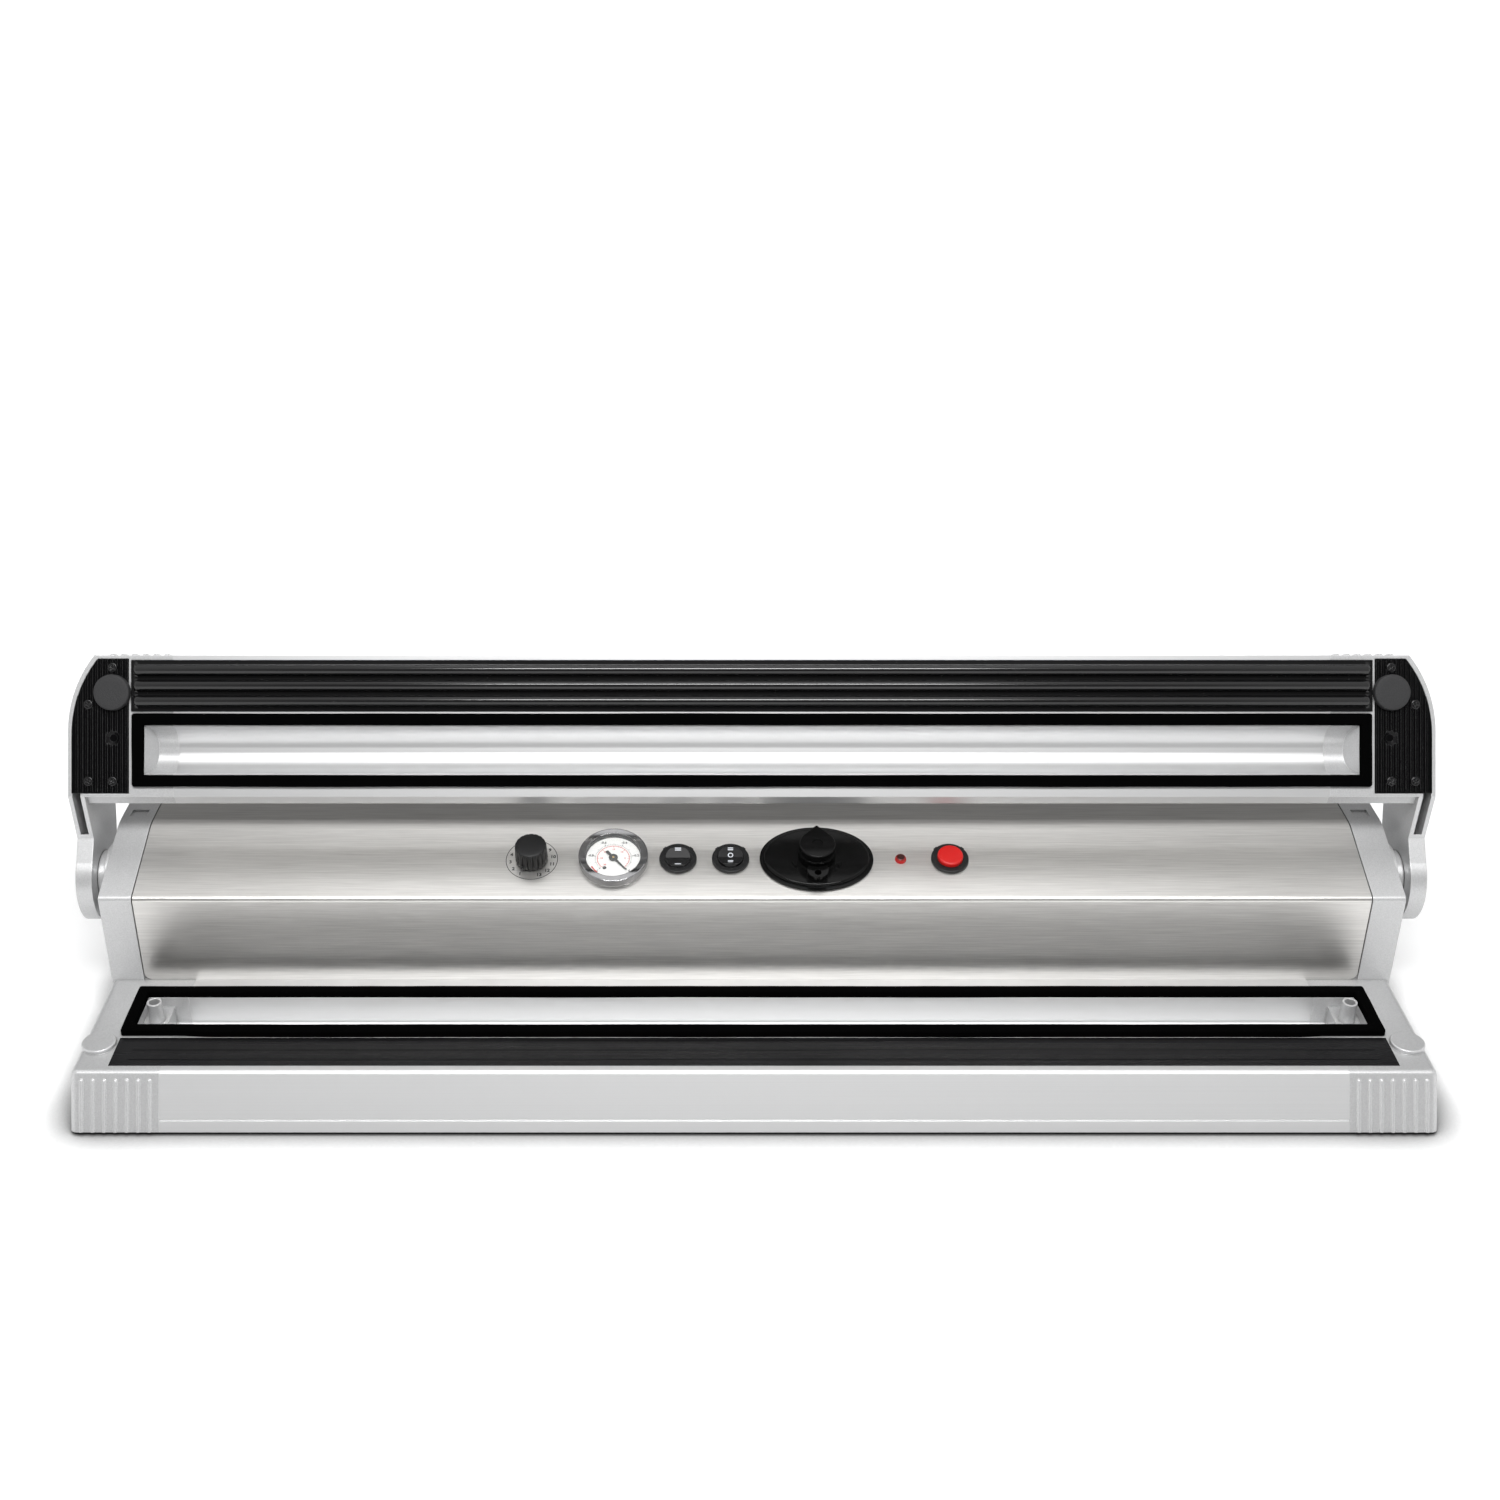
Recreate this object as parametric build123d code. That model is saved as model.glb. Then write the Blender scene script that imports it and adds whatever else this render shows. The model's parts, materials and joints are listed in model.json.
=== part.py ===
from build123d import *
from math import cos, radians, sin, tan
import os

os.makedirs("parts", exist_ok=True)

# Overall stance, millimetres
part_depth = 270.0
foot_height = 2.0
base_height = 31.0
rail_half = 343.5
casing_width = 51.8
front_lean = 28.5
wall = 3.0
rail_wall = 2.5
edge_round = 3.0
side_round = 4.0
slip = 0.3
snug = 0.02
run_fit = 0.06

# Base top from the front edge back to the panel
edge_land = 5.2
seal_width = 26.7
seal_gap = 1.4
gasket_depth = 45.9
gasket_bar = 7.2
gasket_height = 4.1
rear_land = 11.7
rail_tab = 8.0
seal_inset = 20.8
gasket_inset = 20.3
seal_recess = 6.0
tape_thick = 0.6
tape_ridge = 0.3
wire_width = 3.0
wire_thick = 0.25
wire_pitch = 9.0
wire_margin = 10.0
trough_depth = 19.5
trough_round = 2.0
groove_size = 0.8

# Side casings
rib_count = 7
rib_pitch = 6.57
rib_first = 5.6
rib_radius = 1.3
rib_proud = 1.0
rib_top_gap = 5.0
disc_radius = 10.0
disc_height = 2.5
disc_inset = 10.3
disc_back = 20.0
port_inset = 7.5
port_foot = 5.2
port_head = 4.4
port_bore = 3.2
port_rise = 7.0
port_shelf = 12.5
port_shelf_gap = 2.0
port_back = 2.1
nipple_radius = 2.8
nipple_bore = 1.8
nipple_length = 10.0
nipple_z = 10.0
column_radius = 4.0
column_inset = 5.8
column_rise = 18.0
column_front = 75.0
column_rear = 12.0
latch_width = 10.5
latch_depth = 8.0
latch_sink = 1.5

# Steel housing
sheet = 1.0
panel_rise = 59.4
panel_slope = 17.9
panel_length = 60.7
fold_round = 3.5
crest_round = 30.0
cheek_proud = 0.8
cheek_width = 19.8
seam = 0.5
ledge_width = 9.0
ledge_wall = 2.5
ledge_round = 7.0
corner_round = 5.0
plate_thick = 1.5
rear_inset = 2.0
rear_sheet = 1.2
vent_count = 9
vent_pitch = 9.0
vent_width = 3.0
vent_height = 34.0
vent_x = 220.0
vent_z = 62.0

# Lid, laid out in the closed position
close_gap = 0.33
lid_gasket_proud = 3.0
lid_length = 86.0
lid_flange = 6.04
lid_overlap = 7.5
lid_overhang = 19.7
lid_taper = 16.0
lid_bulge = 46.0
lid_front_height = 14.0
lid_rear_height = 22.0
lid_lip = 4.0
lid_lip_rise = 3.0
lid_lip_slope = 4.0
lid_wall = 2.5
lid_round = 4.0
lid_gasket_spread = 1.0
lid_gasket_depth = 44.8
lid_gasket_bar = 7.3
lid_trough_margin = 0.8
lid_trough_depth = 13.0
lid_trough_round = 12.8
lid_trough_inset = 7.0
lid_trough_ramp = 5.8
press_gap = 1.2
press_width = 31.0
press_overhang = 0.5
press_base = 3.0
press_pitch = 9.4
press_radius = 3.2
press_proud = 6.6
plate_gap = 1.5
plate_rim = 2.0
plate_depth = 2.2
plate_rib_pitch = 3.0
plate_rib_width = 1.2
plate_rib_proud = 0.6
pad_radius = 10.9
pad_proud = 4.6
cone_radius = 5.0
cone_tip = 2.4
cone_skin = 0.8
lid_rib_count = 6
lid_rib_first = 4.7
cap_skin = 3.0
lid_screw_length = 8.0
screw_inner_x = 9.8
screw_outer_x = 24.5
screw_rear_run = 9.5
screw_mid_gap = 29.9
screw_front_gap = 7.5
pad_x = 9.6
pad_gap = 22.6
cone_x = 9.7
cone_run = 35.7

# Hinge
open_angle = 118.5
hinge_back = 50.4
hinge_rise = 43.2
arm_thick = 10.0
arm_skin = 2.5
hub_radius = 27.0
arm_run = 26.0
arm_drop = 17.5
arm_crown = 20.0
hinge_pin_radius = 5.0
bush_wall = 2.0
bush_length = 7.8
pin_depth = 14.0
boss_radius = 21.0
boss_step = 16.0
boss_base = 4.0
stop_orbit = 12.0
stop_radius = 2.5
stop_slack = 0.5
stop_depth = 5.0
stop_angle = 60.0

# Controls on the sloped panel
control_row = 31.0
timer_x = -135.0
gauge_x = -84.8
mode_x = -45.0
source_x = -12.7
valve_x = 40.2
lamp_x = 92.0
start_x = 122.3

timer_radius = 10.0
timer_height = 13.0
timer_gap = 0.8
flute_count = 18
flute_radius = 0.9
pointer_reach = 1.9
pointer_width = 2.4
pointer_height = 2.2
pointer_angle = 240.0
pot_radius = 8.0
pot_depth = 9.0
pot_bush = 3.6
pot_bush_rise = 4.0
pot_nut = 5.5
pot_nut_thick = 2.0
pot_shaft = 3.0
pot_shaft_rise = 11.0
knob_recess = 7.0
knob_recess_depth = 4.6

gauge_ring = 21.4
gauge_ring_rise = 5.0
gauge_case = 20.0
gauge_depth = 26.0
gauge_wall = 1.2
gauge_lift = 0.6
gauge_window = 17.2
gauge_lens = 18.4
gauge_lens_thick = 1.2
gauge_lip = 0.8
dial_thick = 0.6
needle_length = 13.5
needle_tail = 6.7
needle_tail_width = 2.0
needle_width = 1.2
needle_thick = 0.4
needle_lift = 0.7
needle_hub = 2.75
needle_shaft = 0.75
needle_rest = -50.0
works_radius = 12.0
works_plate = 2.0
works_drop = 5.0
works_post = 1.6
stem_radius = 4.5
stem_length = 6.0

switch_bezel = 11.5
switch_rise = 2.0
switch_ear = 2.4
switch_ear_reach = 0.6
switch_ear_turn = 45.0
switch_body = 9.9
switch_depth = 20.0
switch_well = 8.2
switch_well_depth = 10.0
rocker_reach = 7.9
rocker_radius = 7.7
rocker_pivot = -1.0
rocker_peak = 4.0
rocker_valley = 2.4
rocker_foot = -4.5
trunnion_radius = 1.5
trunnion_reach = 9.2
mode_tilt = 7.0

valve_long = 70.0
valve_wide = 50.6
valve_thick = 3.2
valve_flange = 1.2
valve_step = 2.4
valve_round = 1.6
valve_ring = 12.4
valve_ring_rise = 0.6
valve_body = 11.0
valve_body_depth = 18.0
valve_cap_radius = 10.95
valve_cap_tip = 14.7
valve_cap_tip_radius = 1.2
valve_cap_thick = 5.5
valve_neck = 11.7
valve_neck_rise = 5.8
valve_flute = 0.6
valve_flutes = 16
valve_stem = 3.0
valve_stem_depth = 12.0
valve_inset = 3.4
valve_inset_sink = 0.8
nozzle_radius = 6.5
nozzle_rise = 5.2
nozzle_bore = 2.0
nozzle_front = 15.0
nozzle_bore_front = 17.2
nozzle_slot = 1.6
nozzle_slot_depth = 0.9
block_orbit = 15.4
block_turn = 25.0
block_length = 4.0
block_width = 1.6
block_rise = 1.4

lamp_radius = 3.5
lamp_rise = 2.6
lamp_stem = 2.9
lamp_depth = 8.0
lamp_holder = 4.6
lamp_holder_length = 6.0

start_cap = 7.85
start_rise = 5.0
start_skirt = 6.0
start_travel = 3.0
start_dome = 1.2

# Machinery inside
pump_inset = 100.3
pump_back = 69.0
pump_z = 44.0
crank_length = 50.0
crank_width = 48.0
crank_height = 56.0
head_radius = 18.0
head_length = 22.0
motor_radius = 27.0
motor_length = 88.0
motor_wall = 3.0
shaft_radius = 4.0
fan_radius = 24.0
fan_hub = 9.0
fan_width = 14.0
fan_blades = 7
fan_blade = 1.6
fan_gap = 4.0
mount_radius = 7.0
bracket_thick = 2.0
bracket_margin = 6.0
inlet_port_rise = -14.0
hose_radius = 4.3
hose_bore = 2.9
hose_bend = 32.0
hose_turn = 18.0
gauge_port_z = 31.0

core_inset = 95.3
core_back = 65.0
core_length = 72.0
core_depth = 40.0
core_height = 62.0
core_leg = 14.0
core_window = 15.0
coil_grow = 12.0

board_gap = 120.0
board_back = 59.0
board_length = 120.0
board_width = 74.0
board_thick = 1.6
board_lift = 10.0
standoff_radius = 3.0
relay_length = 20.0
relay_width = 15.0
relay_height = 15.0
cap_radius = 8.0
cap_height = 24.0

vent_valve_x = gauge_x
vent_valve_back = 51.0
vent_valve_size = 24.0
vent_valve_height = 38.0

socket_inset = 95.3
socket_z = 40.0
socket_width = 30.0
socket_height = 22.0
socket_flange = 3.0
socket_wall = 2.5
socket_depth = 20.0
socket_lip = 1.6
prong_length = 8.0
prong_width = 2.0
prong_height = 4.0
prong_pitch = 7.0

foot_radius = 9.0
foot_side = 65.3
foot_inset = 35.0
screw_radius = 1.45
screw_head = 2.75
screw_head_thick = 1.3
screw_length = 9.0
rear_screw_rows = (0.25, 0.55, 0.85)

# Levels and lines that follow from the sizes above
lean = tan(radians(front_lean))
slope_sin = sin(radians(panel_slope))
slope_cos = cos(radians(panel_slope))
rib_lead = rib_proud * cos(radians(front_lean))
front_y = rib_lead - part_depth / 2
rear_y = part_depth / 2
base_half = rail_half + casing_width
seal_half = base_half - seal_inset
gasket_half = base_half - gasket_inset
cheek_inner = base_half - cheek_width
lid_half = rail_half + lid_overlap
lid_wide = base_half + lid_overhang
lid_narrow = lid_wide - lid_taper
lid_gasket_half = gasket_half + lid_gasket_spread
lid_trough_end = lid_gasket_half - lid_trough_inset
press_half = lid_gasket_half + press_overhang
plate_inner = press_half + plate_gap
pump_x = base_half - pump_inset
core_x = core_inset - base_half
socket_x = socket_inset - base_half
board_x = core_x + board_gap
foot_x = base_half - foot_side
pump_y = rear_y - pump_back
core_y = rear_y - core_back
board_y = rear_y - board_back
vent_valve_y = rear_y - vent_valve_back
foot_y = part_depth / 2 - foot_inset
base_z = foot_height
floor_z = base_z + plate_thick
top_z = base_z + base_height
edge_y = front_y + base_height * lean
seal_y0 = edge_y + edge_land
seal_y1 = seal_y0 + seal_width
gasket_y0 = seal_y1 + seal_gap
gasket_y1 = gasket_y0 + gasket_depth
trough_y0 = gasket_y0 + gasket_bar
trough_y1 = gasket_y1 - gasket_bar
trough_z = top_z - trough_depth
panel_y = gasket_y1 + rear_land
rail_rear = panel_y + rail_tab
fold_z = top_z + panel_rise
crest_z = fold_z + panel_length * slope_sin
rear_face = rear_y - rear_inset
rear_inner = rear_face - rear_sheet
gasket_top = top_z + gasket_height
lid_plane = gasket_top + close_gap
lid_z = lid_plane + lid_gasket_proud
lid_rear = gasket_y1 + lid_flange
hinge_y = lid_rear + hinge_back
hinge_z = lid_plane + hinge_rise
arm_inner = lid_wide - arm_thick
boss_top = arm_inner - slip
trough_end = gasket_half - gasket_bar
column_x = base_half - column_inset
plate_front = front_y + plate_thick * lean + (wall + slip) / cos(radians(front_lean))
panel = Plane(origin=(0, panel_y, fold_z), x_dir=(1, 0, 0), z_dir=(0, -slope_sin, slope_cos))
low = (Align.CENTER, Align.CENTER, Align.MIN)


def outline(points, radii):
    return make_face(FilletPolyline(*points, radius=radii, close=True))


def strip(u0, u1, v0, v1):
    return Pos((u0 + u1) / 2, (v0 + v1) / 2) * Rectangle(u1 - u0, v1 - v0)


def along_x(face, x0, x1):
    return extrude(Plane.YZ.offset(x0) * face, amount=x1 - x0)


def block(x0, x1, y0, y1, z0, z1):
    return Pos((x0 + x1) / 2, (y0 + y1) / 2, (z0 + z1) / 2) * Box(x1 - x0, y1 - y0, z1 - z0)


def rod_x(radius, x0, x1, y, z):
    return Pos(x0, y, z) * Rot(0, 90, 0) * Cylinder(radius, x1 - x0, align=low)


def rod_y(radius, x, y0, y1, z):
    return Pos(x, y0, z) * Rot(-90, 0, 0) * Cylinder(radius, y1 - y0, align=low)


def rod_z(radius, x, y, z0, z1):
    return Pos(x, y, z0) * Cylinder(radius, z1 - z0, align=low)


def pair(shape):
    return shape + mirror(shape, about=Plane.YZ)


def fuse(shapes):
    result = shapes[0]
    for shape in shapes[1:]:
        result = result + shape
    return result


def save(name, shape):
    export_step(shape, f"parts/{name}.step")


def save_sides(name, shape):
    save(f"{name}_right", shape)
    save(f"{name}_left", mirror(shape, about=Plane.YZ))


# Where the panel profile lies when it is moved outwards by a distance
def profile_corners(out):
    fold = fold_z - out * slope_sin / slope_cos + out / slope_cos
    crest = crest_z + out
    crest_line = panel_y - out + (crest - fold) * slope_cos / slope_sin
    return (panel_y - out, fold), (crest_line, crest)


def housing_face(out, bottom, rear, bend):
    fold, crest = profile_corners(out)
    points = [(fold[0], bottom), fold, crest, (rear, crest[1]), (rear, bottom)]
    return outline(points, [0, bend, crest_round + out, 0, 0])


def on_panel(x):
    return panel * Pos(x, control_row, 0)


# Base rail: one aluminium extrusion with seal seat and vacuum trough
def rail_face(bottom):
    points = [(front_y, base_z), (edge_y, top_z), (rail_rear, top_z), (rail_rear, bottom)]
    return outline(points + [(front_y, bottom)], [0, edge_round, 0, 0, 0])


def trough_face(grow):
    points = [(trough_y0 - grow, top_z), (trough_y0 - grow, trough_z - grow)]
    points += [(trough_y1 + grow, trough_z - grow), (trough_y1 + grow, top_z)]
    bend = trough_round + grow
    return outline(points, [0, bend, bend, 0])


def base_outline():
    points = [(front_y, base_z), (edge_y, top_z), (rail_rear, top_z), (rail_rear, base_z)]
    return outline(points, [0, edge_round, 0, 0])


def base_hollow(skin):
    slant = skin / cos(radians(front_lean))
    inner_top = top_z - skin
    inner_front = front_y + slant
    points = [(inner_front - lean * slip, base_z - slip)]
    points += [(inner_front + (inner_top - base_z) * lean, inner_top)]
    points += [(rail_rear - skin, inner_top), (rail_rear - skin, base_z - slip)]
    return outline(points, [0, 0, 0, 0])


def seal_seat(grow):
    return strip(seal_y0 - grow, seal_y1 + grow, top_z - seal_recess - grow, top_z)


def base_section(skin):
    seats = seal_seat(skin) + trough_face(skin)
    body = base_outline() - base_hollow(skin) + (seats & base_outline())
    return body - seal_seat(0) - trough_face(0)


def front_rail():
    rail = along_x(base_section(rail_wall), -rail_half, rail_half)
    rail = rail - block(-rail_half, rail_half, rail_rear - wall, rail_rear + slip, 0, floor_z)
    line_z = base_z + base_height / 5
    line_y = front_y + (line_z - base_z) * lean
    groove = Pos(0, line_y, line_z) * Box(2 * rail_half, groove_size, groove_size)
    return rail - groove


# Side casings: base end, ribbed corner, cheek and suction port in one moulding
def casing_base():
    body = along_x(base_outline(), rail_half, base_half)
    end = body.faces().sort_by(Axis.X)[-1]
    rim = [e for e in end.edges() if e.center().Z > base_z + slip]
    rim = [e for e in rim if e.center().Y < rail_rear - slip]
    body = fillet(rim, side_round)
    hollow = along_x(base_hollow(wall), rail_half + wall, base_half - wall)
    back = block(rail_half + wall, base_half - wall, panel_y, rail_rear + slip, 0, top_z - wall)
    body = body - hollow - back
    seat = along_x(seal_seat(wall) & base_outline(), rail_half, seal_half + wall)
    trough = along_x(trough_face(wall), rail_half, trough_end + wall)
    body = body + seat + trough
    body = body - block(rail_half, rail_half + wall + slip, plate_front - slip, rail_rear, 0, floor_z)
    body = body - along_x(seal_seat(0), rail_half, seal_half)
    return body - along_x(trough_face(0), rail_half, trough_end)


def casing_ribs():
    rib_base = (front_y, base_z)
    length = (base_height - rib_top_gap) / cos(radians(front_lean))
    sink = rib_proud - rib_radius
    ribs = []
    for i in range(rib_count):
        x = rail_half + rib_first + i * rib_pitch
        turn = Pos(x, rib_base[0], rib_base[1]) * Rot(-front_lean, 0, 0)
        bar = turn * Pos(0, -sink, 0) * Cylinder(rib_radius, length, align=low)
        ribs.append(bar + turn * Pos(0, -sink, length) * Sphere(rib_radius))
    ground = block(rail_half, base_half, front_y - base_height, rear_y, base_z, top_z)
    return fuse(ribs) & ground


def casing_cheek():
    outer = housing_face(cheek_proud, base_z, rear_y, fold_round)
    inner = housing_face(cheek_proud - wall, base_z - slip, rear_y - wall, fold_round)
    body = along_x(outer, cheek_inner, base_half)
    body = body - along_x(inner, cheek_inner, base_half - wall)
    body = body - block(cheek_inner, base_half - wall, panel_y - wall, rail_rear, 0, floor_z)
    ledge = housing_face(-sheet, floor_z, rear_inner, ledge_round)
    ledge = ledge - housing_face(-sheet - ledge_wall, 0, rear_inner - ledge_wall, ledge_round)
    body = body + along_x(ledge, cheek_inner - ledge_width, cheek_inner + slip)
    fold, crest = profile_corners(cheek_proud)
    latch_y = crest[0] + latch_depth
    latch_x = (cheek_inner + base_half - latch_width) / 2
    latch = block(latch_x, latch_x + latch_width, latch_y, latch_y + latch_depth,
                  crest[1] - latch_sink, crest[1] + slip)
    return body - latch


def hinge_boss():
    inner = base_half - pin_depth
    boss = rod_x(boss_step, inner, boss_top, hinge_y, hinge_z)
    return boss + rod_x(boss_radius, base_half - wall, base_half + boss_base, hinge_y, hinge_z)


def stop_slot():
    start = stop_angle - 1
    sweep_angle = open_angle + 2
    arc = CenterArc((0, 0), stop_orbit, start, sweep_angle)
    slot = SlotArc(arc, 2 * (stop_radius + stop_slack))
    face = Plane(origin=(boss_top - stop_depth, hinge_y, hinge_z), x_dir=(0, 1, 0), z_dir=(1, 0, 0))
    return extrude(face * slot, amount=stop_depth + slip)


def suction_port():
    x = trough_end - port_inset
    y = (trough_y0 + trough_y1) / 2 + port_back
    boss = Pos(x, y, trough_z - slip) * Cone(port_foot, port_head, trough_depth + port_rise, align=low)
    level = strip(trough_y0 - slip, trough_y1 + slip, trough_z - slip, trough_z + port_shelf)
    shelf_x = x - port_foot - port_shelf_gap
    boss = boss + along_x(trough_face(slip) & level, shelf_x, trough_end + slip)
    foot_y = trough_y1 + wall
    elbow = block(x - port_foot, x + port_foot, y - port_foot, foot_y,
                  nipple_z - port_head, trough_z - slip)
    stub = rod_y(nipple_radius, x, foot_y - slip, foot_y + nipple_length, nipple_z)
    bore = rod_z(port_bore, x, y, nipple_z, top_z + port_rise)
    bore = bore + rod_y(nipple_bore, x, y, rear_y, nipple_z)
    return boss + elbow + stub, bore


def column_spots():
    return [(column_x, front_y + column_front), (column_x, rear_y - column_rear)]


def side_casing():
    body = casing_base() + casing_ribs() + casing_cheek() + hinge_boss()
    body = body - stop_slot()
    body = body - rod_x(hinge_pin_radius + snug, cheek_inner, boss_top + slip, hinge_y, hinge_z)
    disc = rod_z(disc_radius, base_half - disc_inset, seal_y0 + disc_back, top_z - wall,
                 top_z + disc_height)
    disc = fillet(disc.edges().sort_by(Axis.Z)[-1], disc_height / 3)
    port, bore = suction_port()
    body = body + disc + port - bore
    for x, y in column_spots():
        column = rod_z(column_radius, x, y, floor_z, floor_z + column_rise)
        body = body + column
        body = body - rod_z(screw_radius + run_fit, x, y, base_z, floor_z + column_rise - wall)
    for x, z in rear_screw_spots():
        body = body - rod_y(screw_radius + run_fit, x, rear_inner - 2 * ledge_wall, rear_inner, z)
    return body


def rear_screw_spots():
    x = cheek_inner - ledge_width / 2
    span = crest_z - sheet - floor_z
    return [(x, floor_z + share * span) for share in rear_screw_rows]


save("front_rail", front_rail())
save_sides("side_casing", side_casing())

# Folded steel housing, rear panel and bottom plate
housing_half = cheek_inner - seam


def control_holes():
    holes = [on_panel(timer_x) * Cylinder(pot_bush + slip, 3 * sheet)]
    holes.append(on_panel(gauge_x) * Cylinder(gauge_case + slip, 3 * sheet))
    for x in (mode_x, source_x, start_x):
        holes.append(on_panel(x) * Cylinder(switch_body + slip, 3 * sheet))
    holes.append(on_panel(valve_x) * Cylinder(valve_body + slip, 3 * sheet))
    holes.append(on_panel(lamp_x) * Cylinder(lamp_stem + slip, 3 * sheet))
    return holes


def steel_housing():
    outer = housing_face(0, top_z, rear_y, fold_round)
    inner = housing_face(-sheet, 0, rear_y + slip, fold_round - sheet)
    body = along_x(outer - inner, -housing_half, housing_half)
    feet = body.edges().filter_by(Axis.Y).group_by(Axis.Z)[0]
    body = fillet(feet, corner_round)
    for hole in control_holes():
        body = body - hole
    return body


def rear_panel():
    body = block(-housing_half, housing_half, rear_inner, rear_face, floor_z, crest_z - sheet)
    slots = []
    for i in range(vent_count):
        x = vent_x + (i - (vent_count - 1) / 2) * vent_pitch
        slots.append(block(x - vent_width / 2, x + vent_width / 2, rear_inner - slip,
                           rear_face + slip, vent_z - vent_height / 2, vent_z + vent_height / 2))
    body = body - fuse(slots)
    body = body - mirror(fuse(slots), about=Plane.YZ)
    hole_x = socket_width / 2 + snug
    hole_z = socket_height / 2 + snug
    body = body - block(socket_x - hole_x, socket_x + hole_x, rear_inner - slip,
                        rear_face + slip, socket_z - hole_z, socket_z + hole_z)
    for x, z in rear_screw_spots():
        body = body - pair(rod_y(screw_radius + run_fit, x, rear_inner - slip, rear_y, z))
    return body


def bottom_plate():
    half = base_half - wall - slip
    body = block(-half, half, plate_front, rear_y - wall - slip, base_z, floor_z)
    for x, y in column_spots():
        body = body - pair(rod_z(screw_radius + run_fit, x, y, 0, floor_z + slip))
    return body


def bottom_screws():
    screws = []
    for x, y in column_spots():
        head = rod_z(screw_head, x, y, base_z - screw_head_thick, base_z)
        screws.append(head + rod_z(screw_radius, x, y, base_z - snug, base_z + screw_length))
    return pair(fuse(screws))


def rear_screws():
    screws = []
    for x, z in rear_screw_spots():
        head = rod_y(screw_head, x, rear_face, rear_face + screw_head_thick, z)
        end = rear_inner - ledge_wall
        screws.append(head + rod_y(screw_radius, x, end, rear_face + snug, z))
    return pair(fuse(screws))


def rubber_feet():
    feet = [rod_z(foot_radius, foot_x, y, 0, base_z) for y in (-foot_y, foot_y)]
    return pair(fuse(feet))


save("steel_housing", steel_housing())
save("rear_panel", rear_panel())
save("bottom_plate", bottom_plate())
save("bottom_screws", bottom_screws())
save("rear_screws", rear_screws())
save("rubber_feet", rubber_feet())

# Seal bar and base gasket
carrier_top = top_z - tape_thick
wire_half = seal_half - wire_margin
wire_lines = [(seal_y0 + seal_y1) / 2 + s * wire_pitch / 2 for s in (-1, 1)]


def seal_wires():
    bands = [block(-wire_half, wire_half, y - wire_width / 2, y + wire_width / 2,
                   carrier_top - wire_thick, carrier_top) for y in wire_lines]
    return fuse(bands)


def seal_carrier():
    body = block(-seal_half, seal_half, seal_y0, seal_y1, top_z - seal_recess, carrier_top)
    return body - seal_wires()


def seal_tape():
    body = block(-seal_half, seal_half, seal_y0, seal_y1, carrier_top, top_z)
    for y in wire_lines:
        body = body + block(-wire_half, wire_half, y - wire_width, y + wire_width,
                            top_z - tape_thick / 2, top_z + tape_ridge)
    return body


def frame(half, y0, y1, bar, z0, z1):
    ring = Pos(0, (y0 + y1) / 2, z0) * RectangleRounded(2 * half, y1 - y0, bar / 4)
    hole = Pos(0, (y0 + y1) / 2, z0) * RectangleRounded(2 * (half - bar), y1 - y0 - 2 * bar, bar / 4)
    return extrude(ring - hole, amount=z1 - z0)


def base_gasket():
    body = frame(gasket_half, gasket_y0, gasket_y1, gasket_bar, top_z, gasket_top)
    return fillet(body.faces().sort_by(Axis.Z)[-1].edges(), gasket_height / 4)


save("seal_wires", seal_wires())
save("seal_carrier", seal_carrier())
save("seal_tape", seal_tape())
save("base_gasket", base_gasket())

# Hinge pins, bushes and stop pins
pin_end = arm_inner + bush_length - slip
bush_radius = hinge_pin_radius + bush_wall
stop_y = hinge_y + stop_orbit * cos(radians(stop_angle))
stop_z = hinge_z + stop_orbit * sin(radians(stop_angle))
stop_foot = boss_top - stop_depth + slip


def hinge_bush():
    body = rod_x(bush_radius, arm_inner, arm_inner + bush_length, hinge_y, hinge_z)
    return body - rod_x(hinge_pin_radius + run_fit, arm_inner, pin_end + wall, hinge_y, hinge_z)


save("hinge_pins", pair(rod_x(hinge_pin_radius, base_half - pin_depth, pin_end, hinge_y, hinge_z)))
save("hinge_bushes", pair(hinge_bush()))
save("stop_pins", pair(rod_x(stop_radius, stop_foot, arm_inner + arm_thick / 2, stop_y, stop_z)))


# Lid pieces are drawn closed and then swung open about the hinge
def swing(shape, angle):
    return Pos(0, hinge_y, hinge_z) * Rot(angle, 0, 0) * Pos(0, -hinge_y, -hinge_z) * shape


def opened(shape):
    return swing(shape, -open_angle)


lid_front = lid_rear - lid_length
lid_gasket_y1 = lid_rear - lid_flange
lid_gasket_y0 = lid_gasket_y1 - lid_gasket_depth
lid_trough_y0 = lid_gasket_y0 + lid_gasket_bar + lid_trough_margin
lid_trough_y1 = lid_gasket_y1 - lid_gasket_bar - lid_trough_margin
press_y1 = lid_gasket_y0 - press_gap
press_y0 = press_y1 - press_width


def lid_outline(skin):
    rear = lid_rear + lid_lip - skin
    foot = lid_z + (skin if skin > 0 else 0)
    points = [(lid_front + skin, foot)]
    points += [(lid_front + skin, lid_z + lid_front_height - skin)]
    points += [(rear, lid_z + lid_rear_height - skin), (rear, lid_z + lid_lip_rise + lid_lip_slope + skin)]
    points += [(lid_rear - skin, lid_z + lid_lip_rise + skin), (lid_rear - skin, foot)]
    bend = lid_round - skin
    return outline(points, [0, bend, bend, 0, 0, 0])


def lid_trough_face(grow):
    points = [(lid_trough_y0 - grow, lid_z), (lid_trough_y0 - grow, lid_z + lid_trough_depth + grow)]
    points += [(lid_trough_y1 + grow, lid_z + lid_trough_depth + grow), (lid_trough_y1 + grow, lid_z)]
    bend = lid_trough_round + grow
    return outline(points, [0, bend, bend, 0])


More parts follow.
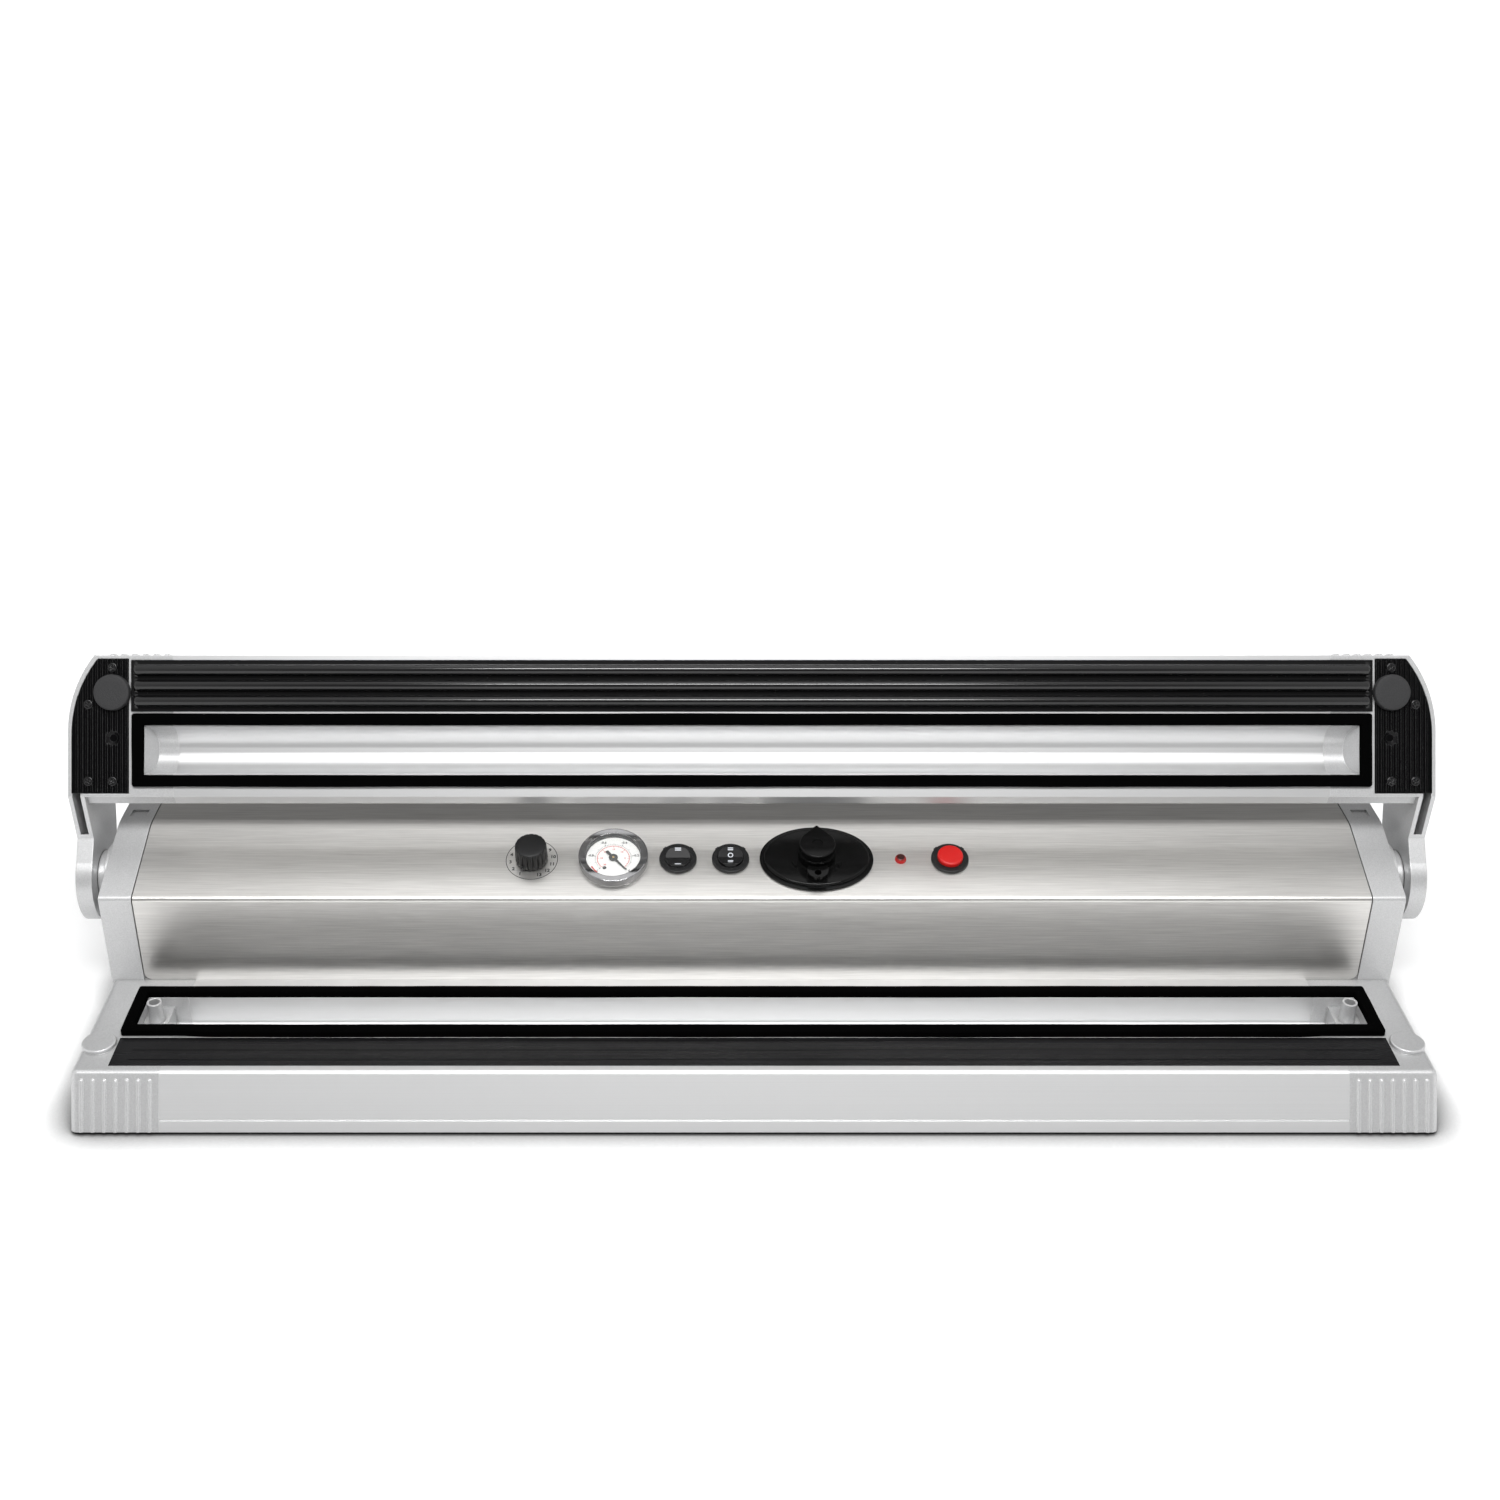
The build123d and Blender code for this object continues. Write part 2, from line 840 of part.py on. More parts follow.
# Sloped end of the trough, inside each lid end
def trough_ramp():
    floor = lid_z + lid_trough_depth
    points = [(lid_trough_end, lid_z), (lid_trough_end, floor), (lid_trough_end - lid_trough_ramp, floor)]
    face = make_face(Polyline(*points, close=True))
    return Pos(0, lid_trough_y1, 0) * Rot(90, 0, 0) * extrude(face, amount=lid_trough_y1 - lid_trough_y0)


def press_seat(grow):
    return strip(press_y0 - grow, press_y1 + grow, lid_z, lid_z + press_base + grow)


def lid_extrusion():
    seats = (lid_trough_face(lid_wall) + press_seat(lid_wall)) & lid_outline(0)
    body = lid_outline(0) - lid_outline(lid_wall) + seats
    body = body - lid_trough_face(0) - press_seat(0)
    return along_x(body, -lid_half, lid_half)


# Plan view of one lid end, pulled in by a margin; the outer edge bows in to the front
def lid_plan(x0, margin):
    front = lid_front + margin
    rear = lid_rear + lid_lip - margin
    wide = lid_wide - margin
    narrow = lid_narrow - margin
    turn_y = front + lid_bulge
    chain = Line((x0, front), (narrow, front))
    bow = TangentArc((wide, turn_y), (narrow, front), tangent=(0, -1))
    side = Line((wide, turn_y), (wide, rear))
    rest = Polyline((wide, rear), (x0, rear), (x0, front))
    return make_face(chain + bow + side + rest)


def lid_arm():
    line = [(lid_front + lid_bulge, lid_z), (lid_rear, lid_z)]
    line += [(lid_rear + arm_run, lid_z + arm_drop), (hinge_y, hinge_z - hub_radius)]
    line += [(hinge_y, hinge_z + hub_radius), (lid_rear, hinge_z + arm_crown)]
    line += [(lid_front + lid_bulge, lid_z + lid_front_height)]
    face = outline(line, [0, 0, 0, 0, 0, hub_radius, 0])
    face = face + Pos(hinge_y, hinge_z) * Circle(hub_radius)
    body = along_x(face, arm_inner, lid_wide)
    foot = lid_z - slip
    pocket = [(lid_rear - arm_drop / 2, foot), (lid_rear, foot)]
    pocket += [(lid_rear + arm_run - arm_skin, lid_z + arm_drop - arm_skin)]
    pocket += [(lid_rear + arm_run - arm_skin, lid_z + 2 * arm_drop)]
    pocket += [(lid_rear - arm_drop / 2, lid_z + 2 * arm_drop)]
    cut = along_x(outline(pocket, [0] * len(pocket)), arm_inner + arm_skin, lid_wide - arm_skin)
    return body, cut


pad_spot = (plate_inner + pad_x, lid_front + pad_gap)
cone_spot = (plate_inner + cone_x, lid_rear - cone_run)


def spots():
    inner = plate_inner + screw_inner_x
    outer = plate_inner + screw_outer_x
    front = [(inner, lid_front + screw_front_gap), (outer, lid_front + screw_mid_gap)]
    rear = lid_rear - screw_rear_run
    return front + [(outer, rear), (inner, rear)]


def lid_end_cap():
    tall = lid_rear_height + wall
    plan = extrude(Pos(0, 0, lid_z) * lid_plan(lid_half, 0), amount=tall)
    body = plan & along_x(lid_outline(0), lid_half, lid_wide)
    core = extrude(Pos(0, 0, lid_z) * lid_plan(plate_inner, cap_skin), amount=tall)
    core = core & along_x(lid_outline(cap_skin), plate_inner, lid_wide)
    recess = extrude(Pos(0, 0, lid_z) * lid_plan(plate_inner, plate_rim), amount=plate_depth)
    recess = recess - block(0, lid_wide, lid_rear - plate_rim, rear_y, 0, rear_y)
    posts = [rod_z(column_radius, x, y, lid_z + plate_depth, lid_z + tall) for x, y in spots()]
    body = body - core + (fuse(posts) & body) - recess
    arm, pocket = lid_arm()
    body = body + (arm - core) - recess - pocket
    body = body - (along_x(lid_trough_face(0), lid_half, lid_trough_end) - trough_ramp())
    body = body - along_x(press_seat(0), lid_half, press_half)
    for x, y in spots():
        body = body - rod_z(screw_radius + run_fit, x, y, lid_z, lid_z + plate_depth + lid_screw_length)
    body = body - rod_x(bush_radius + snug, arm_inner, arm_inner + bush_length, hinge_y, hinge_z)
    stop = rod_x(stop_radius + snug, arm_inner, arm_inner + arm_thick / 2, stop_y, stop_z)
    body = body - swing(stop, open_angle)
    ribs = []
    for i in range(lid_rib_count):
        x = lid_half + lid_rib_first + i * rib_pitch
        ribs.append(rod_z(rib_radius, x, lid_front - rib_proud + rib_radius, lid_z + rib_proud,
                          lid_z + lid_front_height - lid_round))
    return body + fuse(ribs)


def lid_end_plate():
    face = lid_plan(plate_inner, plate_rim + slip)
    body = extrude(Pos(0, 0, lid_z) * face, amount=plate_depth)
    body = body - block(0, lid_wide, lid_rear - plate_rim - slip, rear_y, 0, rear_y)
    count = int((lid_wide - plate_rim - plate_inner) / plate_rib_pitch)
    bars = []
    for i in range(count):
        x = plate_inner + (i + 0.5) * plate_rib_pitch
        bars.append(block(x - plate_rib_width / 2, x + plate_rib_width / 2, lid_front,
                          lid_rear - plate_rim - slip, lid_z - plate_rib_proud, lid_z))
    ribs = fuse(bars) & extrude(Pos(0, 0, lid_z - plate_rib_proud) * face, amount=plate_depth)
    body = body + ribs
    body = body - rod_z(pad_radius + slip, pad_spot[0], pad_spot[1], lid_z - plate_depth, lid_z)
    body = body - Pos(cone_spot[0], cone_spot[1], lid_z - plate_rib_proud) * Cone(
        cone_radius, cone_tip, plate_depth + plate_rib_proud - cone_skin, align=low)
    for x, y in spots():
        body = body - rod_z(screw_radius + run_fit, x, y, lid_z - plate_depth, lid_z + plate_depth)
        body = body - rod_z(screw_head + slip, x, y, lid_z - plate_depth, lid_z)
    return body


def lid_screws():
    screws = []
    for x, y in spots():
        head = rod_z(screw_head, x, y, lid_z - screw_head_thick, lid_z)
        screws.append(head + rod_z(screw_radius, x, y, lid_z - snug, lid_z + lid_screw_length))
    return pair(fuse(screws))


def lid_pads():
    pad = rod_z(pad_radius, pad_spot[0], pad_spot[1], lid_z - pad_proud, lid_z)
    return pair(fillet(pad.edges().sort_by(Axis.Z)[0], pad_proud / 4))


# The ribs end with the seal strip, so that they pass the round discs of the casings
def press_bar():
    middle = (press_y0 + press_y1) / 2
    tip = lid_z - press_proud + press_radius
    ribs = []
    for i in (-1, 0, 1):
        y = middle + i * press_pitch
        rib = strip(y - press_radius, y + press_radius, tip, lid_z + slip)
        ribs.append(rib + Pos(y, tip) * Circle(press_radius))
    body = along_x(press_seat(0), -press_half, press_half)
    for rib in ribs:
        body = body + along_x(rib, -seal_half, seal_half)
    return body


def lid_gasket():
    body = frame(lid_gasket_half, lid_gasket_y0, lid_gasket_y1, lid_gasket_bar, lid_plane, lid_z)
    return fillet(body.faces().sort_by(Axis.Z)[0].edges(), lid_gasket_proud / 4)


save("lid_extrusion", opened(lid_extrusion()))
save_sides("lid_end_cap", opened(lid_end_cap()))
save_sides("lid_end_plate", opened(lid_end_plate()))
save("lid_screws", opened(lid_screws()))
save("lid_pads", opened(lid_pads()))
save("press_bar", opened(press_bar()))
save("lid_gasket", opened(lid_gasket()))


# Controls
def disc(radius, z0, z1):
    return Pos(0, 0, z0) * Cylinder(radius, z1 - z0, align=low)


def timer_knob():
    body = disc(timer_radius, timer_gap, timer_gap + timer_height)
    body = fillet(body.edges().sort_by(Axis.Z)[-1], flute_radius)
    for i in range(flute_count):
        turn = Rot(0, 0, 360 / flute_count * i)
        body = body - turn * Pos(timer_radius, 0, 0) * disc(flute_radius, 0, timer_height + 2 * timer_gap)
    root = timer_radius - 2 * flute_radius
    wedge = [(root, -pointer_width / 2), (timer_radius + pointer_reach, 0), (root, pointer_width / 2)]
    wedge = extrude(make_face(Polyline(*wedge, close=True)), amount=pointer_height)
    body = body + Rot(0, 0, pointer_angle) * Pos(0, 0, timer_gap) * wedge
    body = body - disc(knob_recess, 0, timer_gap + knob_recess_depth)
    return body - disc(pot_shaft + snug, 0, pot_shaft_rise)


def timer_pot():
    body = disc(pot_radius, -sheet - pot_depth, -sheet) + disc(pot_bush, -sheet, pot_bush_rise)
    nut = extrude(RegularPolygon(pot_nut, 6), amount=pot_nut_thick)
    return body + nut - disc(pot_shaft + run_fit, -sheet - pot_depth / 2, pot_bush_rise)


save("timer_knob", on_panel(timer_x) * timer_knob())
save("timer_shaft", on_panel(timer_x) * disc(pot_shaft, -sheet - pot_depth / 2, pot_shaft_rise))
save("timer_pot", on_panel(timer_x) * timer_pot())

dial_z = gauge_lift + dial_thick
lens_z1 = gauge_ring_rise - gauge_lip
lens_z0 = lens_z1 - gauge_lens_thick
works_z = -works_drop


def gauge_case_body():
    body = disc(gauge_case, -gauge_depth, gauge_lift)
    body = body - disc(gauge_case - gauge_wall, -gauge_depth + gauge_wall, gauge_lift)
    stem = disc(stem_radius, -gauge_depth - stem_length, -gauge_depth + snug)
    return body + stem + disc(nipple_radius, -gauge_depth - stem_length - nipple_length, -gauge_depth)


def gauge_bezel():
    body = disc(gauge_ring, 0, gauge_ring_rise)
    body = fillet(body.edges().sort_by(Axis.Z)[-1], gauge_lip)
    body = body - disc(gauge_case + snug, 0, lens_z0) - disc(gauge_lens + snug, 0, lens_z1)
    return body - disc(gauge_window, 0, gauge_ring_rise)


def gauge_works():
    floor = -gauge_depth + gauge_wall
    body = disc(works_radius, works_z - works_plate, works_z)
    for i in range(3):
        turn = Rot(0, 0, 120 * i) * Pos(works_radius - 2 * works_post, 0, 0)
        body = body + turn * disc(works_post, floor, works_z - works_plate)
    return body - disc(needle_shaft + run_fit, floor, works_z)


def gauge_needle():
    level = dial_z + needle_lift
    tip = [(0, -needle_width / 2), (needle_length, -needle_thick / 2)]
    tip += [(needle_length, needle_thick / 2), (0, needle_width / 2)]
    blade = make_face(Polyline(*tip, close=True))
    blade = blade + strip(-needle_tail, 0, -needle_tail_width / 2, needle_tail_width / 2)
    body = Pos(0, 0, level) * extrude(blade, amount=needle_thick)
    body = body + disc(needle_hub, level - needle_thick / 2, level + 2 * needle_thick)
    body = body + disc(needle_shaft, works_z - works_plate, level)
    return Rot(0, 0, needle_rest) * body


def gauge_dial():
    return disc(gauge_case, gauge_lift, dial_z) - disc(2 * needle_shaft, 0, dial_z)


save("gauge_case", on_panel(gauge_x) * gauge_case_body())
save("gauge_bezel", on_panel(gauge_x) * gauge_bezel())
save("gauge_works", on_panel(gauge_x) * gauge_works())
save("gauge_needle", on_panel(gauge_x) * gauge_needle())
save("gauge_dial", on_panel(gauge_x) * gauge_dial())
save("gauge_lens", on_panel(gauge_x) * disc(gauge_lens, lens_z0, lens_z1))


def switch_body_part(well, depth):
    body = disc(switch_body, -switch_depth, switch_rise / 2) + disc(switch_bezel, 0, switch_rise)
    body = fillet(body.edges().sort_by(Axis.Z)[-1], switch_rise / 3)
    half = switch_ear / 2
    for side in (-1, 1):
        ear = block(-half, half, 0, switch_bezel + switch_ear_reach, 0, switch_rise * 2 / 3)
        body = body + Rot(0, 0, side * switch_ear_turn) * ear
    return body - disc(well, -depth, switch_rise)


def rocker_switch():
    body = switch_body_part(switch_well, switch_well_depth)
    reach = trunnion_reach + slip
    return body - rod_x(trunnion_radius + run_fit, -reach, reach, 0, rocker_pivot)


def rocker(tilt):
    reach = rocker_radius
    roof = [(-reach, rocker_foot), (-reach, rocker_peak), (0, rocker_valley), (reach, rocker_peak)]
    body = along_x(outline(roof + [(reach, rocker_foot)], [0] * 5), -reach, reach)
    body = body & disc(rocker_radius, rocker_foot, rocker_peak)
    body = body & rod_x(rocker_reach, -reach, reach, 0, rocker_pivot)
    body = body + rod_x(trunnion_radius, -trunnion_reach, trunnion_reach, 0, rocker_pivot)
    return Pos(0, 0, rocker_pivot) * Rot(tilt, 0, 0) * Pos(0, 0, -rocker_pivot) * body


save("mode_switch", on_panel(mode_x) * rocker_switch())
save("mode_rocker", on_panel(mode_x) * rocker(mode_tilt))
save("source_switch", on_panel(source_x) * rocker_switch())
save("source_rocker", on_panel(source_x) * rocker(0))


def valve_nozzle():
    top = valve_thick + nozzle_rise
    boss = Pos(0, -nozzle_front, 0) * disc(nozzle_radius, 0, top)
    boss = boss - disc(valve_ring + slip, valve_thick, top)
    boss = boss - Pos(0, -nozzle_bore_front, 0) * disc(nozzle_bore, valve_thick, top)
    face = -nozzle_front - nozzle_radius
    half = nozzle_slot / 2
    return boss - block(-half, half, face - slip, face + nozzle_slot_depth, valve_thick, top)


def valve_plate():
    body = extrude(Ellipse(valve_long / 2 - valve_step, valve_wide / 2 - valve_step), amount=valve_thick)
    body = fillet(body.edges().sort_by(Axis.Z)[-1], valve_round)
    body = body + extrude(Ellipse(valve_long / 2, valve_wide / 2), amount=valve_flange)
    body = body + disc(valve_ring, 0, valve_thick + valve_ring_rise) + valve_nozzle()
    for turn in (-block_turn, 180 + block_turn):
        stop = Box(block_width, block_length, block_rise, align=low)
        body = body + Rot(0, 0, turn) * Pos(block_orbit, 0, valve_thick) * stop
    return body - disc(valve_stem + run_fit, -slip, valve_thick + valve_ring_rise)


def valve_core():
    body = disc(valve_body, -sheet - valve_body_depth, 0)
    body = body + disc(nipple_radius, -sheet - valve_body_depth - nipple_length, -sheet)
    return body - disc(valve_stem + run_fit, -sheet - valve_stem_depth, 0)


def valve_knob():
    foot = valve_thick + valve_ring_rise + slip
    cap = foot + valve_neck_rise
    tip = Pos(0, valve_cap_tip - valve_cap_tip_radius) * Circle(valve_cap_tip_radius)
    face = make_hull((Circle(valve_cap_radius) + tip).edges())
    body = extrude(Pos(0, 0, cap) * face, amount=valve_cap_thick)
    body = fillet(body.faces().sort_by(Axis.Z)[-1].edges(), valve_round / 2)
    body = body - disc(valve_inset, cap + valve_cap_thick - valve_inset_sink, cap + valve_cap_thick)
    neck = disc(valve_neck, foot, cap)
    for i in range(valve_flutes):
        flute = Pos(valve_neck, 0, 0) * disc(valve_flute, foot, cap)
        neck = neck - Rot(0, 0, 360 / valve_flutes * i) * flute
    return body + neck + disc(valve_stem, -sheet - valve_stem_depth + slip, foot)


save("valve_plate", on_panel(valve_x) * valve_plate())
save("valve_core", on_panel(valve_x) * valve_core())
save("valve_knob", on_panel(valve_x) * valve_knob())


def lamp_lens():
    body = disc(lamp_radius, 0, lamp_rise)
    body = fillet(body.edges().sort_by(Axis.Z)[-1], lamp_rise * 0.8)
    return body + disc(lamp_stem, -lamp_depth, 0)


def lamp_holder_part():
    body = disc(lamp_holder, -sheet - lamp_holder_length, -sheet)
    return body - disc(lamp_stem + snug, -sheet - lamp_holder_length, -sheet)


save("lamp_lens", on_panel(lamp_x) * lamp_lens())
save("lamp_holder", on_panel(lamp_x) * lamp_holder_part())


def start_button():
    body = disc(start_cap, -start_skirt, start_rise)
    return fillet(body.edges().sort_by(Axis.Z)[-1], start_dome)


def start_switch():
    return switch_body_part(start_cap + run_fit, start_skirt + start_travel + slip)


save("start_switch", on_panel(start_x) * start_switch())
save("start_button", on_panel(start_x) * start_button())

# Vacuum pump with its motor, on a bracket with rubber mounts
crank_x0 = pump_x - crank_length / 2
crank_x1 = pump_x + crank_length / 2
motor_x0 = crank_x0 - motor_length
bracket_z = pump_z - crank_height / 2 - bracket_thick
inlet_z = pump_z + inlet_port_rise


def pump_crankcase():
    body = block(crank_x0, crank_x1, pump_y - crank_width / 2, pump_y + crank_width / 2,
                 pump_z - crank_height / 2, pump_z + crank_height / 2)
    body = fillet(body.edges().filter_by(Axis.X), edge_round)
    body = body + rod_x(nipple_radius, crank_x1 - slip, crank_x1 + nipple_length, pump_y, inlet_z)
    return body - rod_x(shaft_radius + run_fit, crank_x0 - slip, crank_x1 - wall, pump_y, pump_z)


def pump_heads():
    heads = []
    for side in (-1, 1):
        y0 = pump_y + side * crank_width / 2
        y1 = y0 + side * head_length
        near, far = min(y0, y1), max(y0, y1)
        head = rod_y(head_radius, pump_x, near, far, pump_z)
        for i in range(3):
            fin = near + (i + 1) * head_length / 4
            head = head + rod_y(head_radius + wall, pump_x, fin - slip, fin + 1, pump_z)
        heads.append(head)
    return fuse(heads)


def pump_motor():
    body = rod_x(motor_radius, motor_x0, crank_x0, pump_y, pump_z)
    inside = motor_radius - motor_wall
    body = body - rod_x(inside, motor_x0 + motor_wall, crank_x0 - motor_wall, pump_y, pump_z)
    return body - rod_x(shaft_radius + run_fit, motor_x0 - slip, crank_x0 + slip, pump_y, pump_z)


def motor_rotor():
    body = rod_x(shaft_radius, motor_x0 - fan_gap - fan_width, crank_x1 - wall - slip, pump_y, pump_z)
    core = motor_radius - 2 * motor_wall
    return body + rod_x(core, motor_x0 + 3 * motor_wall, crank_x0 - 3 * motor_wall, pump_y, pump_z)


def cooling_fan():
    x1 = motor_x0 - fan_gap
    x0 = x1 - fan_width
    body = rod_x(fan_hub, x0, x1, pump_y, pump_z)
    for i in range(fan_blades):
        blade = block(x0, x1, -fan_blade / 2, fan_blade / 2, 0, fan_radius)
        body = body + Pos(0, pump_y, pump_z) * Rot(360 / fan_blades * i, 0, 0) * blade
    return body - rod_x(shaft_radius + snug, x0, x1, pump_y, pump_z)


def mount_spots():
    xs = (motor_x0 + mount_radius, crank_x1 - mount_radius)
    offset = crank_width / 2 - mount_radius
    return [(x, pump_y + side * offset) for x in xs for side in (-1, 1)]


def pump_bracket():
    half = crank_width / 2
    body = block(motor_x0, crank_x1, pump_y - half, pump_y + half, bracket_z, bracket_z + bracket_thick)
    x = (motor_x0 + crank_x0) / 2
    saddle = block(x - bracket_margin, x + bracket_margin, pump_y - half / 2, pump_y + half / 2,
                   bracket_z, pump_z - motor_radius / 2)
    return body + (saddle - rod_x(motor_radius + snug, motor_x0, crank_x0, pump_y, pump_z))


def pump_mounts():
    return fuse([rod_z(mount_radius, x, y, floor_z, bracket_z) for x, y in mount_spots()])


save("pump_crankcase", pump_crankcase())
save("pump_heads", pump_heads())
save("pump_motor", pump_motor())
save("motor_rotor", motor_rotor())
save("cooling_fan", cooling_fan())
save("pump_bracket", pump_bracket())
save("pump_mounts", pump_mounts())


# Transformer, board, vent valve, hoses and mains inlet
def core_window_block(side, z0, z1, grow):
    x = core_x + side * (core_leg / 2 + core_window / 2)
    half = core_window / 2
    deep = core_depth / 2 + grow
    return block(x - half, x + half, core_y - deep, core_y + deep, z0, z1)


def transformer_core():
    body = block(core_x - core_length / 2, core_x + core_length / 2, core_y - core_depth / 2,
                 core_y + core_depth / 2, floor_z, floor_z + core_height)
    z0 = floor_z + core_leg / 2
    z1 = floor_z + core_height - core_leg / 2
    for side in (-1, 1):
        body = body - core_window_block(side, z0, z1, slip)
    return body


def transformer_coil():
    z0 = floor_z + core_leg / 2
    z1 = floor_z + core_height - core_leg / 2
    half = core_leg / 2 + core_window
    deep = core_depth / 2 + coil_grow
    body = block(core_x - half, core_x + half, core_y - deep, core_y + deep, z0, z1)
    return body - block(core_x - core_leg / 2, core_x + core_leg / 2, core_y - core_depth / 2,
                        core_y + core_depth / 2, z0, z1)


board_z = floor_z + board_lift


def control_board():
    top = board_z + board_thick
    body = block(board_x - board_length / 2, board_x + board_length / 2, board_y - board_width / 2,
                 board_y + board_width / 2, board_z, top)
    for i in range(2):
        x = board_x - board_length / 3 + i * 1.5 * relay_length
        body = body + block(x, x + relay_length, board_y, board_y + relay_width, top, top + relay_height)
    x = board_x + board_length / 4
    return body + rod_z(cap_radius, x, board_y, top, top + cap_height)


def board_standoffs():
    posts = []
    for sx in (-1, 1):
        for sy in (-1, 1):
            x = board_x + sx * (board_length / 2 - 2 * standoff_radius)
            y = board_y + sy * (board_width / 2 - 2 * standoff_radius)
            posts.append(rod_z(standoff_radius, x, y, floor_z, board_z))
    return fuse(posts)


vent_top = floor_z + vent_valve_height


def vent_valve():
    half = vent_valve_size / 2
    body = block(vent_valve_x - half, vent_valve_x + half, vent_valve_y - half, vent_valve_y + half,
                 floor_z, vent_top)
    front = vent_valve_y - half
    for z in (nipple_z, gauge_port_z):
        body = body + rod_y(nipple_radius, vent_valve_x, front - nipple_length, front + slip, z)
    return body


def hose(path):
    ring = Circle(hose_radius) - Circle(hose_bore)
    return sweep(Plane(origin=path @ 0, z_dir=path % 0) * ring, path=path)


def bent_hose(points, radii):
    return hose(FilletPolyline(*points, radius=radii).wire())


def suction_hose():
    x = trough_end - port_inset
    start = (x, trough_y1 + wall + snug, nipple_z)
    rise = (x, pump_y - hose_bend, nipple_z)
    turn = (crank_x1 + hose_bend, pump_y, inlet_z)
    end = (crank_x1 + snug, pump_y, inlet_z)
    return bent_hose([start, rise, turn, end], [hose_bend, hose_turn])


def vent_hose():
    x = port_inset - trough_end
    start = trough_y1 + wall + snug
    end = vent_valve_y - vent_valve_size / 2 - snug
    y = (start + end) / 2
    points = [(x, start), (x, y), (vent_valve_x, y), (vent_valve_x, end)]
    return bent_hose([(px, py, nipple_z) for px, py in points], [hose_bend, hose_bend])


def gauge_hose():
    tip = on_panel(gauge_x) * Pos(0, 0, -gauge_depth - stem_length - snug)
    start = tip.position
    fall = (start.Z - gauge_port_z) / slope_cos
    corner = (gauge_x, start.Y + fall * slope_sin, gauge_port_z)
    end = (gauge_x, vent_valve_y - vent_valve_size / 2 - snug, gauge_port_z)
    return bent_hose([start, corner, end], [hose_turn])


def mains_inlet():
    half_x = socket_width / 2
    half_z = socket_height / 2
    body = block(socket_x - half_x, socket_x + half_x, rear_face - socket_depth, rear_face + socket_lip,
                 socket_z - half_z, socket_z + half_z)
    rim = socket_flange
    body = body + block(socket_x - half_x - rim, socket_x + half_x + rim, rear_face,
                        rear_face + socket_lip, socket_z - half_z - rim, socket_z + half_z + rim)
    well = rear_face - socket_depth + socket_wall
    body = body - block(socket_x - half_x + socket_wall, socket_x + half_x - socket_wall, well, rear_y,
                        socket_z - half_z + socket_wall, socket_z + half_z - socket_wall)
    for i in (-1, 0, 1):
        x = socket_x + i * prong_pitch
        half = prong_width / 2
        body = body + block(x - half, x + half, well - socket_wall / 2, well + prong_length,
                            socket_z - prong_height / 2, socket_z + prong_height / 2)
    return body


save("transformer_core", transformer_core())
save("transformer_coil", transformer_coil())
save("control_board", control_board())
save("board_standoffs", board_standoffs())
save("vent_valve", vent_valve())
save("vacuum_hoses", suction_hose() + vent_hose() + gauge_hose())
save("mains_inlet", mains_inlet())
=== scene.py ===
import json
from math import cos, pi, radians, sin, tau

import bmesh
import bpy
from mathutils import Matrix, Vector, noise


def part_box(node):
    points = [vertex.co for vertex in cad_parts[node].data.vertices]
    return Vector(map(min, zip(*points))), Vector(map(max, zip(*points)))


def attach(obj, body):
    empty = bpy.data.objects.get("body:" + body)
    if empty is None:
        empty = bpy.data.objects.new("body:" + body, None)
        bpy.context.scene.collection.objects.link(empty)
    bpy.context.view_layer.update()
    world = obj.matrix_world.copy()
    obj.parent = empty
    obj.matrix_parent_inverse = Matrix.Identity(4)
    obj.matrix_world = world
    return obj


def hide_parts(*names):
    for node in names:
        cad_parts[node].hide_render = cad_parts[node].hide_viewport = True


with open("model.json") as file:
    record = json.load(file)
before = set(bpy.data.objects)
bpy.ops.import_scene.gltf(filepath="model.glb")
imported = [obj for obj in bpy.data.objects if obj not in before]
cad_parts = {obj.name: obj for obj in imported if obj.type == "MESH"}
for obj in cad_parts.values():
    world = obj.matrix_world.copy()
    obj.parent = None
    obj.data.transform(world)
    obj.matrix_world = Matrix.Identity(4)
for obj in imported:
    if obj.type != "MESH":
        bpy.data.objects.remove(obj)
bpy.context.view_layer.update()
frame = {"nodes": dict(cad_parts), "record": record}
scene = bpy.context.scene
mm = 0.001

# Places read from the frame
joints = {joint["name"]: joint for joint in frame["record"]["behaviour"]["joints"]}
timer_spot = Vector(joints["timer_turn"]["pos_m"])
gauge_spot = Vector(joints["needle_turn"]["pos_m"])
panel_normal = Vector(joints["timer_turn"]["axis"])
hinge_spot = Vector(joints["lid_hinge"]["pos_m"])
lid_angle = radians(joints["lid_hinge"]["range_deg"][1])


def panel_frame(spot):
    """Axes of the sloped panel at a spot: across, up the slope, out of the sheet."""
    across = Vector((1, 0, 0))
    up = panel_normal.cross(across)
    turn = Matrix((across, up, panel_normal)).transposed().to_4x4()
    return Matrix.Translation(spot) @ turn


def panel_frame_of(node):
    low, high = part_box(node)
    return panel_frame(Vector(((low.x + high.x) / 2, timer_spot.y, timer_spot.z)))


def swing(angle):
    turn = Matrix.Rotation(angle, 4, "X")
    return Matrix.Translation(hinge_spot) @ turn @ Matrix.Translation(-hinge_spot)


still = Matrix.Identity(4)
lid_shut = swing(lid_angle)
lid_open = swing(-lid_angle)


def box_when(node, matrix):
    points = [matrix @ vertex.co for vertex in frame["nodes"][node].data.vertices]
    low = Vector([min(p[i] for p in points) for i in range(3)])
    high = Vector([max(p[i] for p in points) for i in range(3)])
    return low, high


